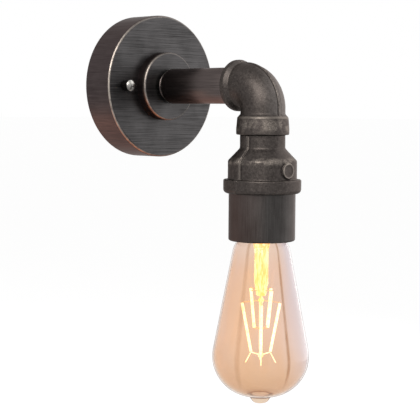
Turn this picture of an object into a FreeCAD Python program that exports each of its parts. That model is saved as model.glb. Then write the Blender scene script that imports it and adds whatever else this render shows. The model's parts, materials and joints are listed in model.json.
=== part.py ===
import FreeCAD, Part
import math
import os

# Industrial pipe wall light, in millimetres.
# A round backplate cup hangs on a strap bracket by two studs and two cap nuts.
# A short pipe leaves the cup towards -Y, a cast elbow turns it down, and a cast
# reducer carries the lampholder, its sleeve and a pear-shaped filament bulb.
# The origin is on the wall plane, in the middle of the bracket; +Z is up and
# the wall is the plane y = 0.  The drop axis is the vertical line through the
# elbow, reducer, lampholder and bulb.

# ---- driving dimensions ---------------------------------------------------

ARM_REACH = 122.8            # wall to the drop axis

CUP_RADIUS = 50.0
CUP_DEPTH = 24.3
CUP_WALL = 1.4
CUP_EDGE_RADIUS = 1.8

HUB_RADIUS = 23.9
HUB_THICK = 8.0
HUB_RIM_RADIUS = 1.5
HUB_SPIGOT_RADIUS = 14.0     # locates the hub in the hole of the cup

PIPE_RADIUS = 12.25
PIPE_BORE_RADIUS = 8.5
PIPE_THREAD_RADIUS = 10.5    # turned down end, screwed through hub and locknut
PIPE_SHOULDER_GAP = 2.6      # bare thread between hub face and pipe shoulder
PIPE_EDGE_CHAMFER = 0.7
PIPE_INNER_LENGTH = 2.0      # thread that stands past the locknut
PIPE_IN_ELBOW = 7.0

LOCKNUT_ACROSS_FLATS = 30.0
LOCKNUT_THICK = 5.5
LOCKNUT_CHAMFER = 1.2
WASHER_RADIUS = 16.5
WASHER_THICK = 1.0
WASHER_TEETH = 16
WASHER_TOOTH_DEPTH = 1.6
WASHER_NOTCH_WIDTH = 1.8

STUD_INSET = 15.0            # rim of the cup to each stud
STUD_RADIUS = 2.0
STUD_HEAD_RADIUS = 3.6
STUD_HEAD_HEIGHT = 2.4
STUD_IN_NUT = 5.5            # thread taken up by each cap nut
STUD_SLOT_WIDTH = 0.9
CUP_STUD_HOLE_RADIUS = 2.4
STUD_LOCKNUT_FLATS = 7.0
STUD_LOCKNUT_THICK = 3.0
STUD_LOCKNUT_CHAMFER = 0.5
SMALL_SLOT_WIDTH = 0.6       # driver slots of the small screws

CAP_NUT_RADIUS = 3.85
CAP_NUT_LENGTH = 7.8
CAP_NUT_DOME = 1.7
CAP_NUT_FOOT_CHAMFER = 0.4
CAP_NUT_GAP = 0.1            # running gap between cap nut and cup

STRAP_THICK = 2.0
STRAP_WIDTH = 20.0
STRAP_END_MARGIN = 7.0       # each stud to the end of the strap
STRAP_STEP_MARGIN = 4.0      # each stud to the raised end's inner edge
STRAP_RISE = 3.2             # the ends stand this far off the wall
STRAP_JOG = 4.0              # length of each slanted step
STRAP_CORNER_RADIUS = 3.0
SLOT_SPACING = 40.0
SLOT_WIDTH = 4.6
SLOT_LENGTH = 12.0
CABLE_HOLE_RADIUS = 6.0
TAB_WIDTH = 31.0
TAB_LENGTH = 24.0            # tab below the strap, for the terminal block
EARTH_TAB_WIDTH = 12.0
EARTH_TAB_LENGTH = 13.0
EARTH_SCREW_RADIUS = 2.0
EARTH_HEAD_RADIUS = 3.8
EARTH_HEAD_HEIGHT = 2.4
EARTH_SCREW_LENGTH = 5.0
EARTH_TAG_THICK = 0.8
EARTH_TAG_RADIUS = 3.9
EARTH_BARREL_RADIUS = 1.9
EARTH_BARREL_LENGTH = 6.0
EARTH_BARREL_FLOOR = 1.0     # closed end of the barrel, next to the ring
EARTH_TAG_MARGIN = 0.6       # ring to the tab's upper edge
EARTH_LOOP_REACH = 9.0       # end of the crimp barrel to the earth lead's far corner
EARTH_LOOP_LOW = 2.0         # height of that corner above the arm's axis
EARTH_LEAD_RISE = 5.0        # block's top to the earth lead's first corner
EARTH_LEAD_RADII = (4.5, 6.0, 6.0)

BLOCK_WIDTH = 28.0
BLOCK_HEIGHT = 16.0
BLOCK_DEPTH = 12.0
BLOCK_PITCH = 9.0
BLOCK_WAYS = 3
BLOCK_CORNER_RADIUS = 1.0
WAY_RADIUS = 2.6             # bore of each way, which holds a brass insert
WAY_DEPTH = 6.5              # from the back of the block to the way's axis
INSERT_BORE_RADIUS = 1.5
INSERT_LENGTH = 12.0
BLOCK_SCREW_RADIUS = 1.3
BLOCK_SCREW_WELL_RADIUS = 1.9
BLOCK_SCREW_LENGTH = 4.2
BLOCK_SLOT_WIDTH = 0.5
BLOCK_SLOT_DEPTH = 0.4
EARTH_LEAD_GRIP = 1.0        # way's middle down to the earth lead's end
EARTH_LEAD_IN_TAG = 1.5      # barrel's mouth side to the earth lead's other end
BLOCK_SCREW_SETBACK = 3.6    # from the middle of the block to each clamp screw
FIXING_SCREW_RADIUS = 1.5
FIXING_HEAD_RADIUS = 2.8
FIXING_HEAD_HEIGHT = 1.8

LEAD_RADIUS = 1.1
LEAD_SPACING = 2.6           # between the two leads in the pipe
LEAD_ELBOW_RADIUS = 17.0
LEAD_ENTRY_RADIUS = 8.0
LEAD_RISE = 6.5              # block's top to the corner of each lead's route
LEAD_HOLDER_RADIUS = 4.0
LEAD_SPREAD_DROP = 2.4       # nipple's foot down to where the leads part

ELBOW_RADIUS = 14.85
ELBOW_BORE_RADIUS = 11.0
ELBOW_CROTCH_RADIUS = 1.0    # inner radius of the bend
ARM_BEAD_RADIUS = 17.2
ARM_BEAD_FACE = 24.0         # drop axis to the open face of the arm bead
ARM_BEAD_WIDTH = 3.4
ARM_BEAD_TAPER = 2.4
ARM_BEAD_ROUND = 1.3
DROP_BEAD_SLOPE_TOP = 18.8   # arm axis down to the start of the lower bead's slope
DROP_BEAD_TOP = 21.1         # arm axis down to the bead's upper edge
DROP_BEAD_BOTTOM = 32.5
DROP_BEAD_TOP_RADIUS = 16.9
DROP_BEAD_RADIUS = 17.55
DROP_BEAD_SHOULDER = 28.4    # where the lower bead reaches its full radius
BEAD_EDGE_RADIUS = 0.9
BEAD_SHOULDER_RADIUS = 2.0
PARTING_WIDTH = 1.8
PARTING_HEIGHT = 0.6

NECK_RADIUS = 15.0
NECK_LENGTH = 8.8
SPIGOT_RADIUS = 13.2         # threaded end of the reducer, inside the elbow
SPIGOT_LENGTH = 10.5
SPIGOT_BORE_RADIUS = 10.4
CONE_LENGTH = 8.2
CONE_EDGE_RADIUS = 2.0
SPIGOT_CHAMFER = 1.0
BARREL_RADIUS = 22.85
BARREL_LENGTH = 12.3
REDUCER_WALL = 2.7
REDUCER_BEAD_STAND = 2.95    # the lower bead stands this far out from the barrel
REDUCER_BEAD_LENGTH = 9.2
REDUCER_BEAD_EDGE_RADIUS = 2.8
WEB_THICK = 4.0              # cast web that carries the nipple
WEB_DROP = 4.6               # elbow's lower face to the top of the web
RIB_WIDTH = 2.6
RIB_HEIGHT = 0.9
BOSS_RADIUS = 5.1
BOSS_HEIGHT = 0.9
BOSS_DISH_RADIUS = 4.0
BOSS_DISH_DEPTH = 0.45
BOSS_DROP = 23.0             # elbow's lower face down to the boss's middle

SLEEVE_STEP = 0.7            # the sleeve is this much slimmer than the barrel
SLEEVE_WALL = 1.8
SLEEVE_LENGTH = 31.4         # visible below the reducer
SLEEVE_IN_REDUCER = 7.6
SLEEVE_EDGE_RADIUS = 1.35
SLEEVE_INNER_EDGE_RADIUS = 0.3

NIPPLE_RADIUS = 5.0
NIPPLE_BORE_RADIUS = 3.6
NIPPLE_BELOW_WEB = 6.5
BRIDGE_THICK = 1.5
BRIDGE_WIDTH = 13.0
BRIDGE_SPAN = 26.0           # between the two fixing screws of the bridge
BRIDGE_FOOT = 7.0
BRIDGE_RISE = 5.0
BRIDGE_SCREW_RADIUS = 1.5
BRIDGE_SCREW_HEAD_RADIUS = 2.7
BRIDGE_SCREW_HEAD_HEIGHT = 1.6
BRIDGE_SCREW_LENGTH = 7.0

HOLDER_ROOM = 1.35           # porcelain to the bore of the reducer's barrel
HOLDER_LENGTH = 38.0
HOLDER_BASE = 13.2           # solid porcelain above the lamp cavity
HOLDER_EDGE_RADIUS = 1.4
SHELL_INNER_RADIUS = 13.45
SHELL_WALL = 0.4
SHELL_LENGTH = 20.0
SHELL_TOP_REACH = 3.0        # the shell's flat top reaches this far inwards
SHELL_LIP_THICK = 1.0
HOLDER_SHELF = 2.0           # porcelain shelf over the shell's top
HOLDER_MOUTH_RADIUS = 0.5
POCKET_WIDTH = 8.4
POCKET_DEPTH = 8.6
TERMINAL_OFFSET = 10.0       # drop axis to each lead's way in the holder
TERMINAL_SIZE = 7.0
TERMINAL_BORE_RADIUS = 1.4
TERMINAL_SCREW_RADIUS = 1.5
TERMINAL_HEAD_RADIUS = 2.4
TERMINAL_HEAD_HEIGHT = 1.3
CONTACT_WIDTH = 6.0
CONTACT_THICK = 0.5
CONTACT_RISE = 2.6
CONTACT_FOOT = 4.5
CONTACT_TIP = 2.6            # half the flat length that meets the lamp
CONTACT_MARGIN = 3.6         # end of the leaf to the wall of the cavity
CONTACT_GAP = 0.15           # leaf contact to the lamp's end contact

CAP_SHELL_GAP = 0.3          # lamp cap to the holder's shell
CAP_WALL = 0.35
CAP_LENGTH = 22.5
CAP_NECK_STEP = 0.85         # the plain rim is this much slimmer than the thread band
CAP_NECK_WALL = 0.55         # rim and cement round the glass
CAP_SHOULDER_DROP = 3.0
CAP_RIM_BITE = 3.5           # glass above the plain rim, inside the thread band
CAP_TAPER_LENGTH = 1.0
CAP_TAPER_WALL = 0.2
CAP_SHOULDER_RADIUS = 9.6
INSULATOR_HEIGHT = 2.6
END_CONTACT_RADIUS = 4.6
END_CONTACT_HEIGHT = 1.3
INSULATOR_MARGIN = 0.6       # insulator's top rim round the end contact
DRIVER_WIDTH = 17.0
DRIVER_LENGTH = 13.0
DRIVER_THICK = 1.2

GLASS_WALL = 0.9
GLASS_IN_CAP = 7.5
NECK_GLASS_ROUND = 2.0
NECK_BELOW_RIM = 0.9
SHOULDER_RADIUS = 18.6       # where the neck's flare meets the straight flank
SHOULDER_DROP = 10.8         # drops of the glass are measured from the cap's rim
SHOULDER_ROUND = 14.0
FLANK_CORNER_RADIUS = 37.9   # where the flank's line would meet the flat bottom
BOTTOM_DROP = 111.3
BELLY_ROUND = 26.75
NUB_ROOT_RADIUS = 7.8
NUB_ROOT_ROUND = 2.0
NUB_TIP_RADIUS = 4.6
NUB_TIP_ROUND = 3.6
NUB_LENGTH = 4.8

STEM_RADIUS = 4.7
STEM_DROP = 44.0             # cap rim down to the pinched end of the stem
STEM_FLARE_LENGTH = 17.0
STEM_FLARE_ROUND = 4.0
STEM_PINCH_RADIUS = 3.1
STEM_PINCH_LENGTH = 9.0      # taper down to the pinched end
STEM_SEAL_LENGTH = 1.0       # cylinder that is sealed into the neck
STEM_FLARE_STAND = 1.6       # how far the flare's bend stands out from the stem
STEM_TOP_SHARE = 0.4         # where the stem starts, in the glass inside the cap
STEM_BEND_SHARE = 0.55       # where the flare bends, along its length
POST_RADIUS = 0.9
POST_DROP = 84.0
BEAD_RADIUS = 1.9
FILAMENT_RADIUS = 0.9
FILAMENTS_PER_CAGE = 4
LOWER_CAGE_TOP = (12.6, 49.0)      # radius, drop below the cap's rim
LOWER_CAGE_FOOT = (6.5, 81.5)
UPPER_CAGE_TOP = (9.6, 40.0)
UPPER_CAGE_FOOT = (6.4, 64.5)
CAGE_TURN = 45.0             # degrees from +X to the first stick of the lower cage
WIRE_RADIUS = 0.3
LEG_REACH = 3.6              # support leg beyond the foot of each stick
LEG_DROP = 7.5
BEAD_RISE = 2.0              # upper bead above the lower cage's top
UPPER_SPOKE_FALL = 2.0       # root of the upper cage's lower spokes below its sticks

# ---- clearances -----------------------------------------------------------

THREAD_GAP = 0.05            # radial gap in every screwed or pushed fit
ROOM_GAP = 0.3               # gap between pieces that only lie side by side
SHELL_ROOM = 0.35            # brass shell to the porcelain round it
WIRE_SEAT_GAP = 0.02         # gap between a support wire and what it is fused to

# ---- directions and derived places ----------------------------------------

ORIGIN = FreeCAD.Vector(0, 0, 0)
RIGHT = FreeCAD.Vector(1, 0, 0)
OUT = FreeCAD.Vector(0, -1, 0)
UP = FreeCAD.Vector(0, 0, 1)
DOWN = FreeCAD.Vector(0, 0, -1)

CUP_FACE = -CUP_DEPTH
CUP_INSIDE = CUP_FACE + CUP_WALL
HUB_FACE = CUP_FACE - HUB_THICK
PIPE_SHOULDER = HUB_FACE - PIPE_SHOULDER_GAP
ELBOW_FACE = -ARM_REACH + ARM_BEAD_FACE
ELBOW_BEND_RADIUS = ELBOW_RADIUS + ELBOW_CROTCH_RADIUS
BEND_START = -ARM_REACH + ELBOW_BEND_RADIUS
PIPE_END = ELBOW_FACE - PIPE_IN_ELBOW
WASHER_FACE = CUP_INSIDE + WASHER_THICK
LOCKNUT_FACE = WASHER_FACE + LOCKNUT_THICK
PIPE_START = LOCKNUT_FACE + PIPE_INNER_LENGTH

STUD_SPACING = 2 * (CUP_RADIUS - STUD_INSET)
STRAP_LENGTH = STUD_SPACING + 2 * STRAP_END_MARGIN
STRAP_PAD_HALF = STUD_SPACING / 2 - STRAP_STEP_MARGIN - STRAP_JOG
STRAP_FACE = -STRAP_THICK
STRAP_END_BACK = -STRAP_RISE
STRAP_END_FACE = -STRAP_RISE - STRAP_THICK

ELBOW_FOOT = -DROP_BEAD_BOTTOM
NECK_FOOT = ELBOW_FOOT - NECK_LENGTH
CONE_FOOT = NECK_FOOT - CONE_LENGTH
BARREL_FOOT = CONE_FOOT - BARREL_LENGTH
REDUCER_FOOT = BARREL_FOOT - REDUCER_BEAD_LENGTH
WEB_TOP = ELBOW_FOOT - WEB_DROP
WEB_FOOT = WEB_TOP - WEB_THICK
BARREL_BORE_RADIUS = BARREL_RADIUS - REDUCER_WALL
REDUCER_BEAD_RADIUS = BARREL_RADIUS + REDUCER_BEAD_STAND
SLEEVE_RADIUS = BARREL_RADIUS - SLEEVE_STEP
SLEEVE_INNER_RADIUS = SLEEVE_RADIUS - SLEEVE_WALL
HOLDER_RADIUS = min(BARREL_BORE_RADIUS, SLEEVE_INNER_RADIUS) - HOLDER_ROOM
HOLDER_CAVITY_RADIUS = SHELL_INNER_RADIUS + SHELL_WALL + SHELL_ROOM
CAP_RADIUS = SHELL_INNER_RADIUS - CAP_SHELL_GAP
CAP_NECK_RADIUS = CAP_RADIUS - CAP_NECK_STEP
NECK_GLASS_RADIUS = CAP_NECK_RADIUS - CAP_NECK_WALL - THREAD_GAP
SLEEVE_TOP = REDUCER_FOOT + SLEEVE_IN_REDUCER
SLEEVE_FOOT = REDUCER_FOOT - SLEEVE_LENGTH

NIPPLE_FOOT = WEB_FOOT - NIPPLE_BELOW_WEB
BRIDGE_TOP = NIPPLE_FOOT + BRIDGE_THICK
HOLDER_TOP = NIPPLE_FOOT - BRIDGE_RISE
HOLDER_FOOT = HOLDER_TOP - HOLDER_LENGTH
CAVITY_TOP = HOLDER_TOP - HOLDER_BASE
LAMP_TOP = CAVITY_TOP - CONTACT_THICK - CONTACT_RISE - CONTACT_GAP
CAP_TOP = LAMP_TOP - END_CONTACT_HEIGHT - INSULATOR_HEIGHT
CAP_RIM = CAP_TOP - CAP_LENGTH
UPPER_BEAD_DROP = LOWER_CAGE_TOP[1] - BEAD_RISE
UPPER_SPOKE_DROP = UPPER_CAGE_FOOT[1] + UPPER_SPOKE_FALL


# ---- helpers --------------------------------------------------------------

def arm_point(radius, y):
    """Point of an outline that is revolved about the arm's axis."""
    return FreeCAD.Vector(radius, y, 0)


def drop_point(radius, z):
    """Point of an outline that is revolved about the drop axis."""
    return FreeCAD.Vector(radius, -ARM_REACH, z)


def corner_points(before, corner, after, radius):
    """Where a rounded corner starts, has its middle and ends."""
    back = (before - corner).normalize()
    ahead = (after - corner).normalize()
    half = back.getAngle(ahead) / 2
    reach = radius / math.tan(half)
    middle_way = (back + ahead).normalize()
    middle = corner + middle_way * (radius / math.sin(half) - radius)
    return corner + back * reach, middle, corner + ahead * reach


def rounded_edges(points, radii, closed):
    """Straight runs joined by tangent arcs through the given corners."""
    count = len(points)
    enters = list(points)
    leaves = list(points)
    arcs = [None] * count
    for i, radius in enumerate(radii):
        if radius > 0:
            enters[i], middle, leaves[i] = corner_points(
                points[i - 1], points[i], points[(i + 1) % count], radius)
            arcs[i] = Part.Arc(enters[i], middle, leaves[i]).toShape()
    edges = []
    for i in range(count):
        if arcs[i]:
            edges.append(arcs[i])
        follower = (i + 1) % count
        last = i == count - 1
        if last and not closed:
            break
        if leaves[i].distanceToPoint(enters[follower]) > 1e-6:
            edges.append(Part.LineSegment(leaves[i], enters[follower]).toShape())
    return edges


def outline_face(place, corners):
    """Face inside corners (u, v) or (u, v, corner radius)."""
    points = [place(corner[0], corner[1]) for corner in corners]
    radii = [corner[2] if len(corner) > 2 else 0 for corner in corners]
    return Part.Face(Part.Wire(rounded_edges(points, radii, True)))


def turned(place, corners):
    """Solid of revolution about the arm's axis or the drop axis."""
    if place is arm_point:
        return outline_face(place, corners).revolve(ORIGIN, OUT, 360)
    return outline_face(place, corners).revolve(drop_point(0, 0), UP, 360)


def drop_cylinder(radius, top, foot):
    """Cylinder on the drop axis between two heights."""
    return Part.makeCylinder(radius, top - foot, drop_point(0, foot), UP)


def box_between(x_range, y_range, z_range):
    """Box between three pairs of coordinates."""
    low = FreeCAD.Vector(min(x_range), min(y_range), min(z_range))
    high = FreeCAD.Vector(max(x_range), max(y_range), max(z_range))
    size = high - low
    return Part.makeBox(size.x, size.y, size.z, low)


def hex_prism(across_flats, thick, base, direction):
    """Hexagonal prism with its first face at base."""
    points = []
    for i in range(6):
        angle = math.radians(60 * i + 30)
        reach = across_flats / math.sqrt(3)
        points.append(FreeCAD.Vector(reach * math.cos(angle), reach * math.sin(angle), 0))
    prism = Part.Face(Part.makePolygon(points + points[:1])).extrude(UP * thick)
    prism.Placement = FreeCAD.Placement(base, FreeCAD.Rotation(UP, direction))
    return prism


def hex_nut(across_flats, thick, chamfer, bore, base, direction):
    """Hexagonal nut whose corners are turned off at both faces."""
    corner = across_flats / math.sqrt(3)
    low = corner - chamfer
    profile = [(0, 0), (low, 0), (corner, chamfer / 2), (corner, thick - chamfer / 2),
               (low, thick), (0, thick)]
    turned_blank = outline_face(lambda r, h: FreeCAD.Vector(r, 0, h), profile)
    turned_blank = turned_blank.revolve(ORIGIN, UP, 360)
    turned_blank.Placement = FreeCAD.Placement(base, FreeCAD.Rotation(UP, direction))
    nut = hex_prism(across_flats, thick, base, direction).common(turned_blank)
    hole = Part.makeCylinder(bore, 3 * thick, base - direction * thick, direction)
    return nut.cut(hole)


def pan_screw(radius, length, head_radius, head_height, slot, base, direction):
    """Screw with a domed, slotted head; base is under the head, direction to its tip."""
    edge = head_height * 0.45
    profile = [(0, -length), (radius * 0.75, -length), (radius, -length + radius * 0.25),
               (radius, 0), (head_radius, 0), (head_radius, head_height, edge),
               (0, head_height)]
    body = outline_face(lambda r, h: FreeCAD.Vector(r, 0, h), profile)
    body = body.revolve(ORIGIN, UP, 360)
    slot_box = Part.makeBox(3 * head_radius, slot, head_height,
                            FreeCAD.Vector(-1.5 * head_radius, -slot / 2, head_height * 0.5))
    body = body.cut(slot_box)
    body.Placement = FreeCAD.Placement(base, FreeCAD.Rotation(UP, direction * -1))
    return body


def round_bar(points, radii, radius):
    """Bar of round section along straight runs and tangent arcs."""
    path = Part.Wire(rounded_edges(points, radii, False))
    start = points[0]
    way = (points[1] - points[0]).normalize()
    section = Part.Wire(Part.makeCircle(radius, start, way))
    return path.makePipeShell([section], True, False)


def rod(start, end, radius):
    """Straight round rod between two points."""
    run = end - start
    return Part.makeCylinder(radius, run.Length, start, run)


def group(solids):
    """Several separate solids kept in one node."""
    return Part.makeCompound(solids)


def fused(solids):
    """One solid from several that overlap."""
    whole = solids[0].fuse(solids[1:]) if len(solids) > 1 else solids[0]
    return whole.removeSplitter()


# ---- wall bracket and what it carries --------------------------------------

def slot_cutter(x_middle):
    """Round-ended slot through the flat middle of the strap."""
    half_run = (SLOT_LENGTH - SLOT_WIDTH) / 2
    deep = 3 * STRAP_THICK
    start = FreeCAD.Vector(0, STRAP_THICK, 0)
    ends = [Part.makeCylinder(SLOT_WIDTH / 2, deep, start + RIGHT * (x_middle + side * half_run),
                              OUT) for side in (-1, 1)]
    middle = box_between((x_middle - half_run, x_middle + half_run),
                         (STRAP_THICK, STRAP_THICK - deep), (-SLOT_WIDTH / 2, SLOT_WIDTH / 2))
    return fused(ends + [middle])


def strap_section():
    """Side outline of the strap with its raised ends, seen along Z."""
    half = STRAP_LENGTH / 2
    jog_end = STRAP_PAD_HALF + STRAP_JOG
    slant = STRAP_THICK * math.tan(math.atan2(STRAP_RISE, STRAP_JOG) / 2)
    back = [(STRAP_PAD_HALF, 0), (jog_end, -STRAP_RISE), (half, -STRAP_RISE)]
    front = [(half, STRAP_END_FACE), (jog_end - slant, STRAP_END_FACE),
             (STRAP_PAD_HALF - slant, STRAP_FACE)]
    right = back + front
    left = [(-x, y) for x, y in reversed(right)]
    return outline_face(lambda x, y: FreeCAD.Vector(x, y, -STRAP_WIDTH / 2), right + left)


def terminal_tab():
    """Flat tab below the strap, which carries the terminal block."""
    foot = -STRAP_WIDTH / 2 - TAB_LENGTH
    half = TAB_WIDTH / 2
    tab = outline_face(lambda x, z: FreeCAD.Vector(x, 0, z),
                       [(-half, 0), (-half, foot, STRAP_CORNER_RADIUS),
                        (half, foot, STRAP_CORNER_RADIUS), (half, 0)])
    return tab.extrude(OUT * STRAP_THICK)


def earth_tab():
    """Raised tab above the strap for the earth screw."""
    top = STRAP_WIDTH / 2 + EARTH_TAB_LENGTH
    step = STRAP_WIDTH / 2 + STRAP_JOG
    slant = STRAP_THICK * math.tan(math.atan2(STRAP_RISE, STRAP_JOG) / 2)
    section = [(0, 0), (0, STRAP_WIDTH / 2), (-STRAP_RISE, step), (-STRAP_RISE, top),
               (STRAP_END_FACE, top), (STRAP_END_FACE, step - slant),
               (STRAP_FACE, STRAP_WIDTH / 2 - slant), (STRAP_FACE, 0)]
    face = outline_face(lambda y, z: FreeCAD.Vector(-EARTH_TAB_WIDTH / 2, y, z), section)
    return face.extrude(RIGHT * EARTH_TAB_WIDTH)


def stud_places():
    """Middle of each stud, on the wall plane."""
    return [RIGHT * (side * STUD_SPACING / 2) for side in (-1, 1)]


EARTH_SCREW_Z = STRAP_WIDTH / 2 + EARTH_TAB_LENGTH - EARTH_TAG_RADIUS - EARTH_TAG_MARGIN
BLOCK_TOP = -STRAP_WIDTH / 2 - (TAB_LENGTH - BLOCK_HEIGHT) / 2
BLOCK_MIDDLE = BLOCK_TOP - BLOCK_HEIGHT / 2
BLOCK_FACE = STRAP_FACE - BLOCK_DEPTH
WAY_Y = STRAP_FACE - WAY_DEPTH
FIXING_X = BLOCK_PITCH / 2


def wall_bracket():
    """Strap with raised ends, screw slots, cable hole and two tabs."""
    strap = strap_section().extrude(UP * STRAP_WIDTH)
    bracket = fused([strap, terminal_tab(), earth_tab()])
    bracket = bracket.cut(group([slot_cutter(side * SLOT_SPACING / 2) for side in (-1, 1)]))
    deep = 4 * (STRAP_RISE + STRAP_THICK)
    holes = [Part.makeCylinder(STUD_RADIUS + THREAD_GAP, deep, place - OUT * deep / 2, OUT)
             for place in stud_places()]
    holes.append(Part.makeCylinder(CABLE_HOLE_RADIUS, deep, OUT * -deep / 2, OUT))
    earth = FreeCAD.Vector(0, deep / 2, EARTH_SCREW_Z)
    holes.append(Part.makeCylinder(EARTH_SCREW_RADIUS + THREAD_GAP, deep, earth, OUT))
    fixing = FreeCAD.Vector(FIXING_X, deep / 2, BLOCK_MIDDLE)
    holes.append(Part.makeCylinder(FIXING_SCREW_RADIUS + THREAD_GAP, deep, fixing, OUT))
    return bracket.cut(group(holes))


def stud_screws():
    """Two machine screws put through the strap's ends from behind."""
    length = STUD_IN_NUT - CUP_FACE + CAP_NUT_GAP + STRAP_END_BACK
    return group([pan_screw(STUD_RADIUS, length, STUD_HEAD_RADIUS, STUD_HEAD_HEIGHT,
                            STUD_SLOT_WIDTH, place + OUT * STRAP_RISE, OUT)
                  for place in stud_places()])


def stud_locknuts():
    """Hexagonal nuts that lock each stud against the strap."""
    return group([hex_nut(STUD_LOCKNUT_FLATS, STUD_LOCKNUT_THICK, STUD_LOCKNUT_CHAMFER,
                          STUD_RADIUS + THREAD_GAP, place + OUT * (STRAP_RISE + STRAP_THICK), OUT)
                  for place in stud_places()])


def cap_nut(place):
    """Round cap nut with a domed end and a blind bore for its stud."""
    foot = CUP_DEPTH + CAP_NUT_GAP
    end = foot + CAP_NUT_LENGTH
    barrel = end - CAP_NUT_DOME
    bore = STUD_RADIUS + THREAD_GAP
    bore_end = foot + STUD_IN_NUT + ROOM_GAP
    dome_radius = (CAP_NUT_RADIUS ** 2 + CAP_NUT_DOME ** 2) / (2 * CAP_NUT_DOME)
    turn = math.asin(CAP_NUT_RADIUS / dome_radius) / 2
    middle = FreeCAD.Vector(dome_radius * math.sin(turn),
                            end - dome_radius * (1 - math.cos(turn)), 0)
    rim = FreeCAD.Vector(CAP_NUT_RADIUS, barrel, 0)
    tip = FreeCAD.Vector(0, end, 0)
    corners = [FreeCAD.Vector(bore, foot, 0),
               FreeCAD.Vector(CAP_NUT_RADIUS - CAP_NUT_FOOT_CHAMFER, foot, 0),
               FreeCAD.Vector(CAP_NUT_RADIUS, foot + CAP_NUT_FOOT_CHAMFER, 0), rim]
    edges = [Part.LineSegment(a, b).toShape() for a, b in zip(corners, corners[1:])]
    edges.append(Part.Arc(rim, middle, tip).toShape())
    inner = [tip, FreeCAD.Vector(0, bore_end, 0), FreeCAD.Vector(bore, bore_end, 0), corners[0]]
    edges += [Part.LineSegment(a, b).toShape() for a, b in zip(inner, inner[1:])]
    nut = Part.Face(Part.Wire(edges)).revolve(ORIGIN, FreeCAD.Vector(0, 1, 0), 360)
    nut.rotate(ORIGIN, UP, 180)
    nut.translate(place)
    return nut


# ---- earth and mains terminals ---------------------------------------------

def earth_screw():
    """Screw that holds the ring tag on the raised tab."""
    under_head = FreeCAD.Vector(0, STRAP_END_FACE - EARTH_TAG_THICK, EARTH_SCREW_Z)
    return pan_screw(EARTH_SCREW_RADIUS, EARTH_SCREW_LENGTH, EARTH_HEAD_RADIUS,
                     EARTH_HEAD_HEIGHT, STUD_SLOT_WIDTH, under_head, OUT * -1)


def earth_tag():
    """Ring tag with the crimp barrel of the earth lead."""
    back = FreeCAD.Vector(0, STRAP_END_FACE, EARTH_SCREW_Z)
    ring = Part.makeCylinder(EARTH_TAG_RADIUS, EARTH_TAG_THICK, back, OUT)
    barrel_start = FreeCAD.Vector(EARTH_TAG_RADIUS, STRAP_END_FACE - EARTH_BARREL_RADIUS,
                                  EARTH_SCREW_Z)
    barrel = Part.makeCylinder(EARTH_BARREL_RADIUS, EARTH_BARREL_LENGTH, barrel_start, RIGHT)
    neck = box_between((0, EARTH_TAG_RADIUS + EARTH_BARREL_FLOOR), (STRAP_END_FACE, STRAP_END_FACE -
                       EARTH_TAG_THICK), (EARTH_SCREW_Z - EARTH_BARREL_RADIUS,
                                          EARTH_SCREW_Z + EARTH_BARREL_RADIUS))
    tag = fused([ring, neck, barrel])
    hole = Part.makeCylinder(EARTH_SCREW_RADIUS + THREAD_GAP, 4 * EARTH_TAG_THICK,
                             back - OUT * EARTH_TAG_THICK, OUT)
    bore = Part.makeCylinder(LEAD_RADIUS + THREAD_GAP, EARTH_BARREL_LENGTH,
                             barrel_start + RIGHT * EARTH_BARREL_FLOOR, RIGHT)
    return tag.cut(group([hole, bore]))


def way_places():
    """Middle of each way of the terminal block."""
    first = -BLOCK_PITCH * (BLOCK_WAYS - 1) / 2
    return [FreeCAD.Vector(first + i * BLOCK_PITCH, WAY_Y, BLOCK_MIDDLE)
            for i in range(BLOCK_WAYS)]


def clamp_places():
    """Tip end of each clamp screw, two to a way."""
    places = []
    for way in way_places():
        for side in (-1, 1):
            places.append(way + UP * (side * BLOCK_SCREW_SETBACK) + OUT * LEAD_RADIUS)
    return places


def terminal_block():
    """Moulded block with three ways, screw wells and one fixing hole."""
    half = BLOCK_WIDTH / 2
    low = BLOCK_TOP - BLOCK_HEIGHT
    r = BLOCK_CORNER_RADIUS
    face = outline_face(lambda x, z: FreeCAD.Vector(x, STRAP_FACE, z),
                        [(-half, low, r), (half, low, r), (half, BLOCK_TOP, r),
                         (-half, BLOCK_TOP, r)])
    block = face.extrude(OUT * BLOCK_DEPTH)
    cutters = []
    for way in way_places():
        cutters.append(Part.makeCylinder(WAY_RADIUS, 2 * BLOCK_HEIGHT, way - UP * BLOCK_HEIGHT, UP))
    for place in clamp_places():
        cutters.append(Part.makeCylinder(BLOCK_SCREW_WELL_RADIUS, BLOCK_DEPTH, place, OUT))
    fixing = FreeCAD.Vector(FIXING_X, 0, BLOCK_MIDDLE)
    cutters.append(Part.makeCylinder(FIXING_SCREW_RADIUS + THREAD_GAP, 2 * BLOCK_DEPTH,
                                     fixing, OUT))
    return block.cut(group(cutters))


def terminal_inserts():
    """Brass tubes in the ways, each tapped for two clamp screws."""
    tubes = []
    for way in way_places():
        foot = way - UP * (INSERT_LENGTH / 2)
        tube = Part.makeCylinder(WAY_RADIUS, INSERT_LENGTH, foot, UP)
        tubes.append(tube.cut(Part.makeCylinder(INSERT_BORE_RADIUS, INSERT_LENGTH, foot, UP)))
    taps = group([Part.makeCylinder(BLOCK_SCREW_RADIUS + THREAD_GAP, BLOCK_DEPTH, place, OUT)
                  for place in clamp_places()])
    return group([tube.cut(taps) for tube in tubes])


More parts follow.
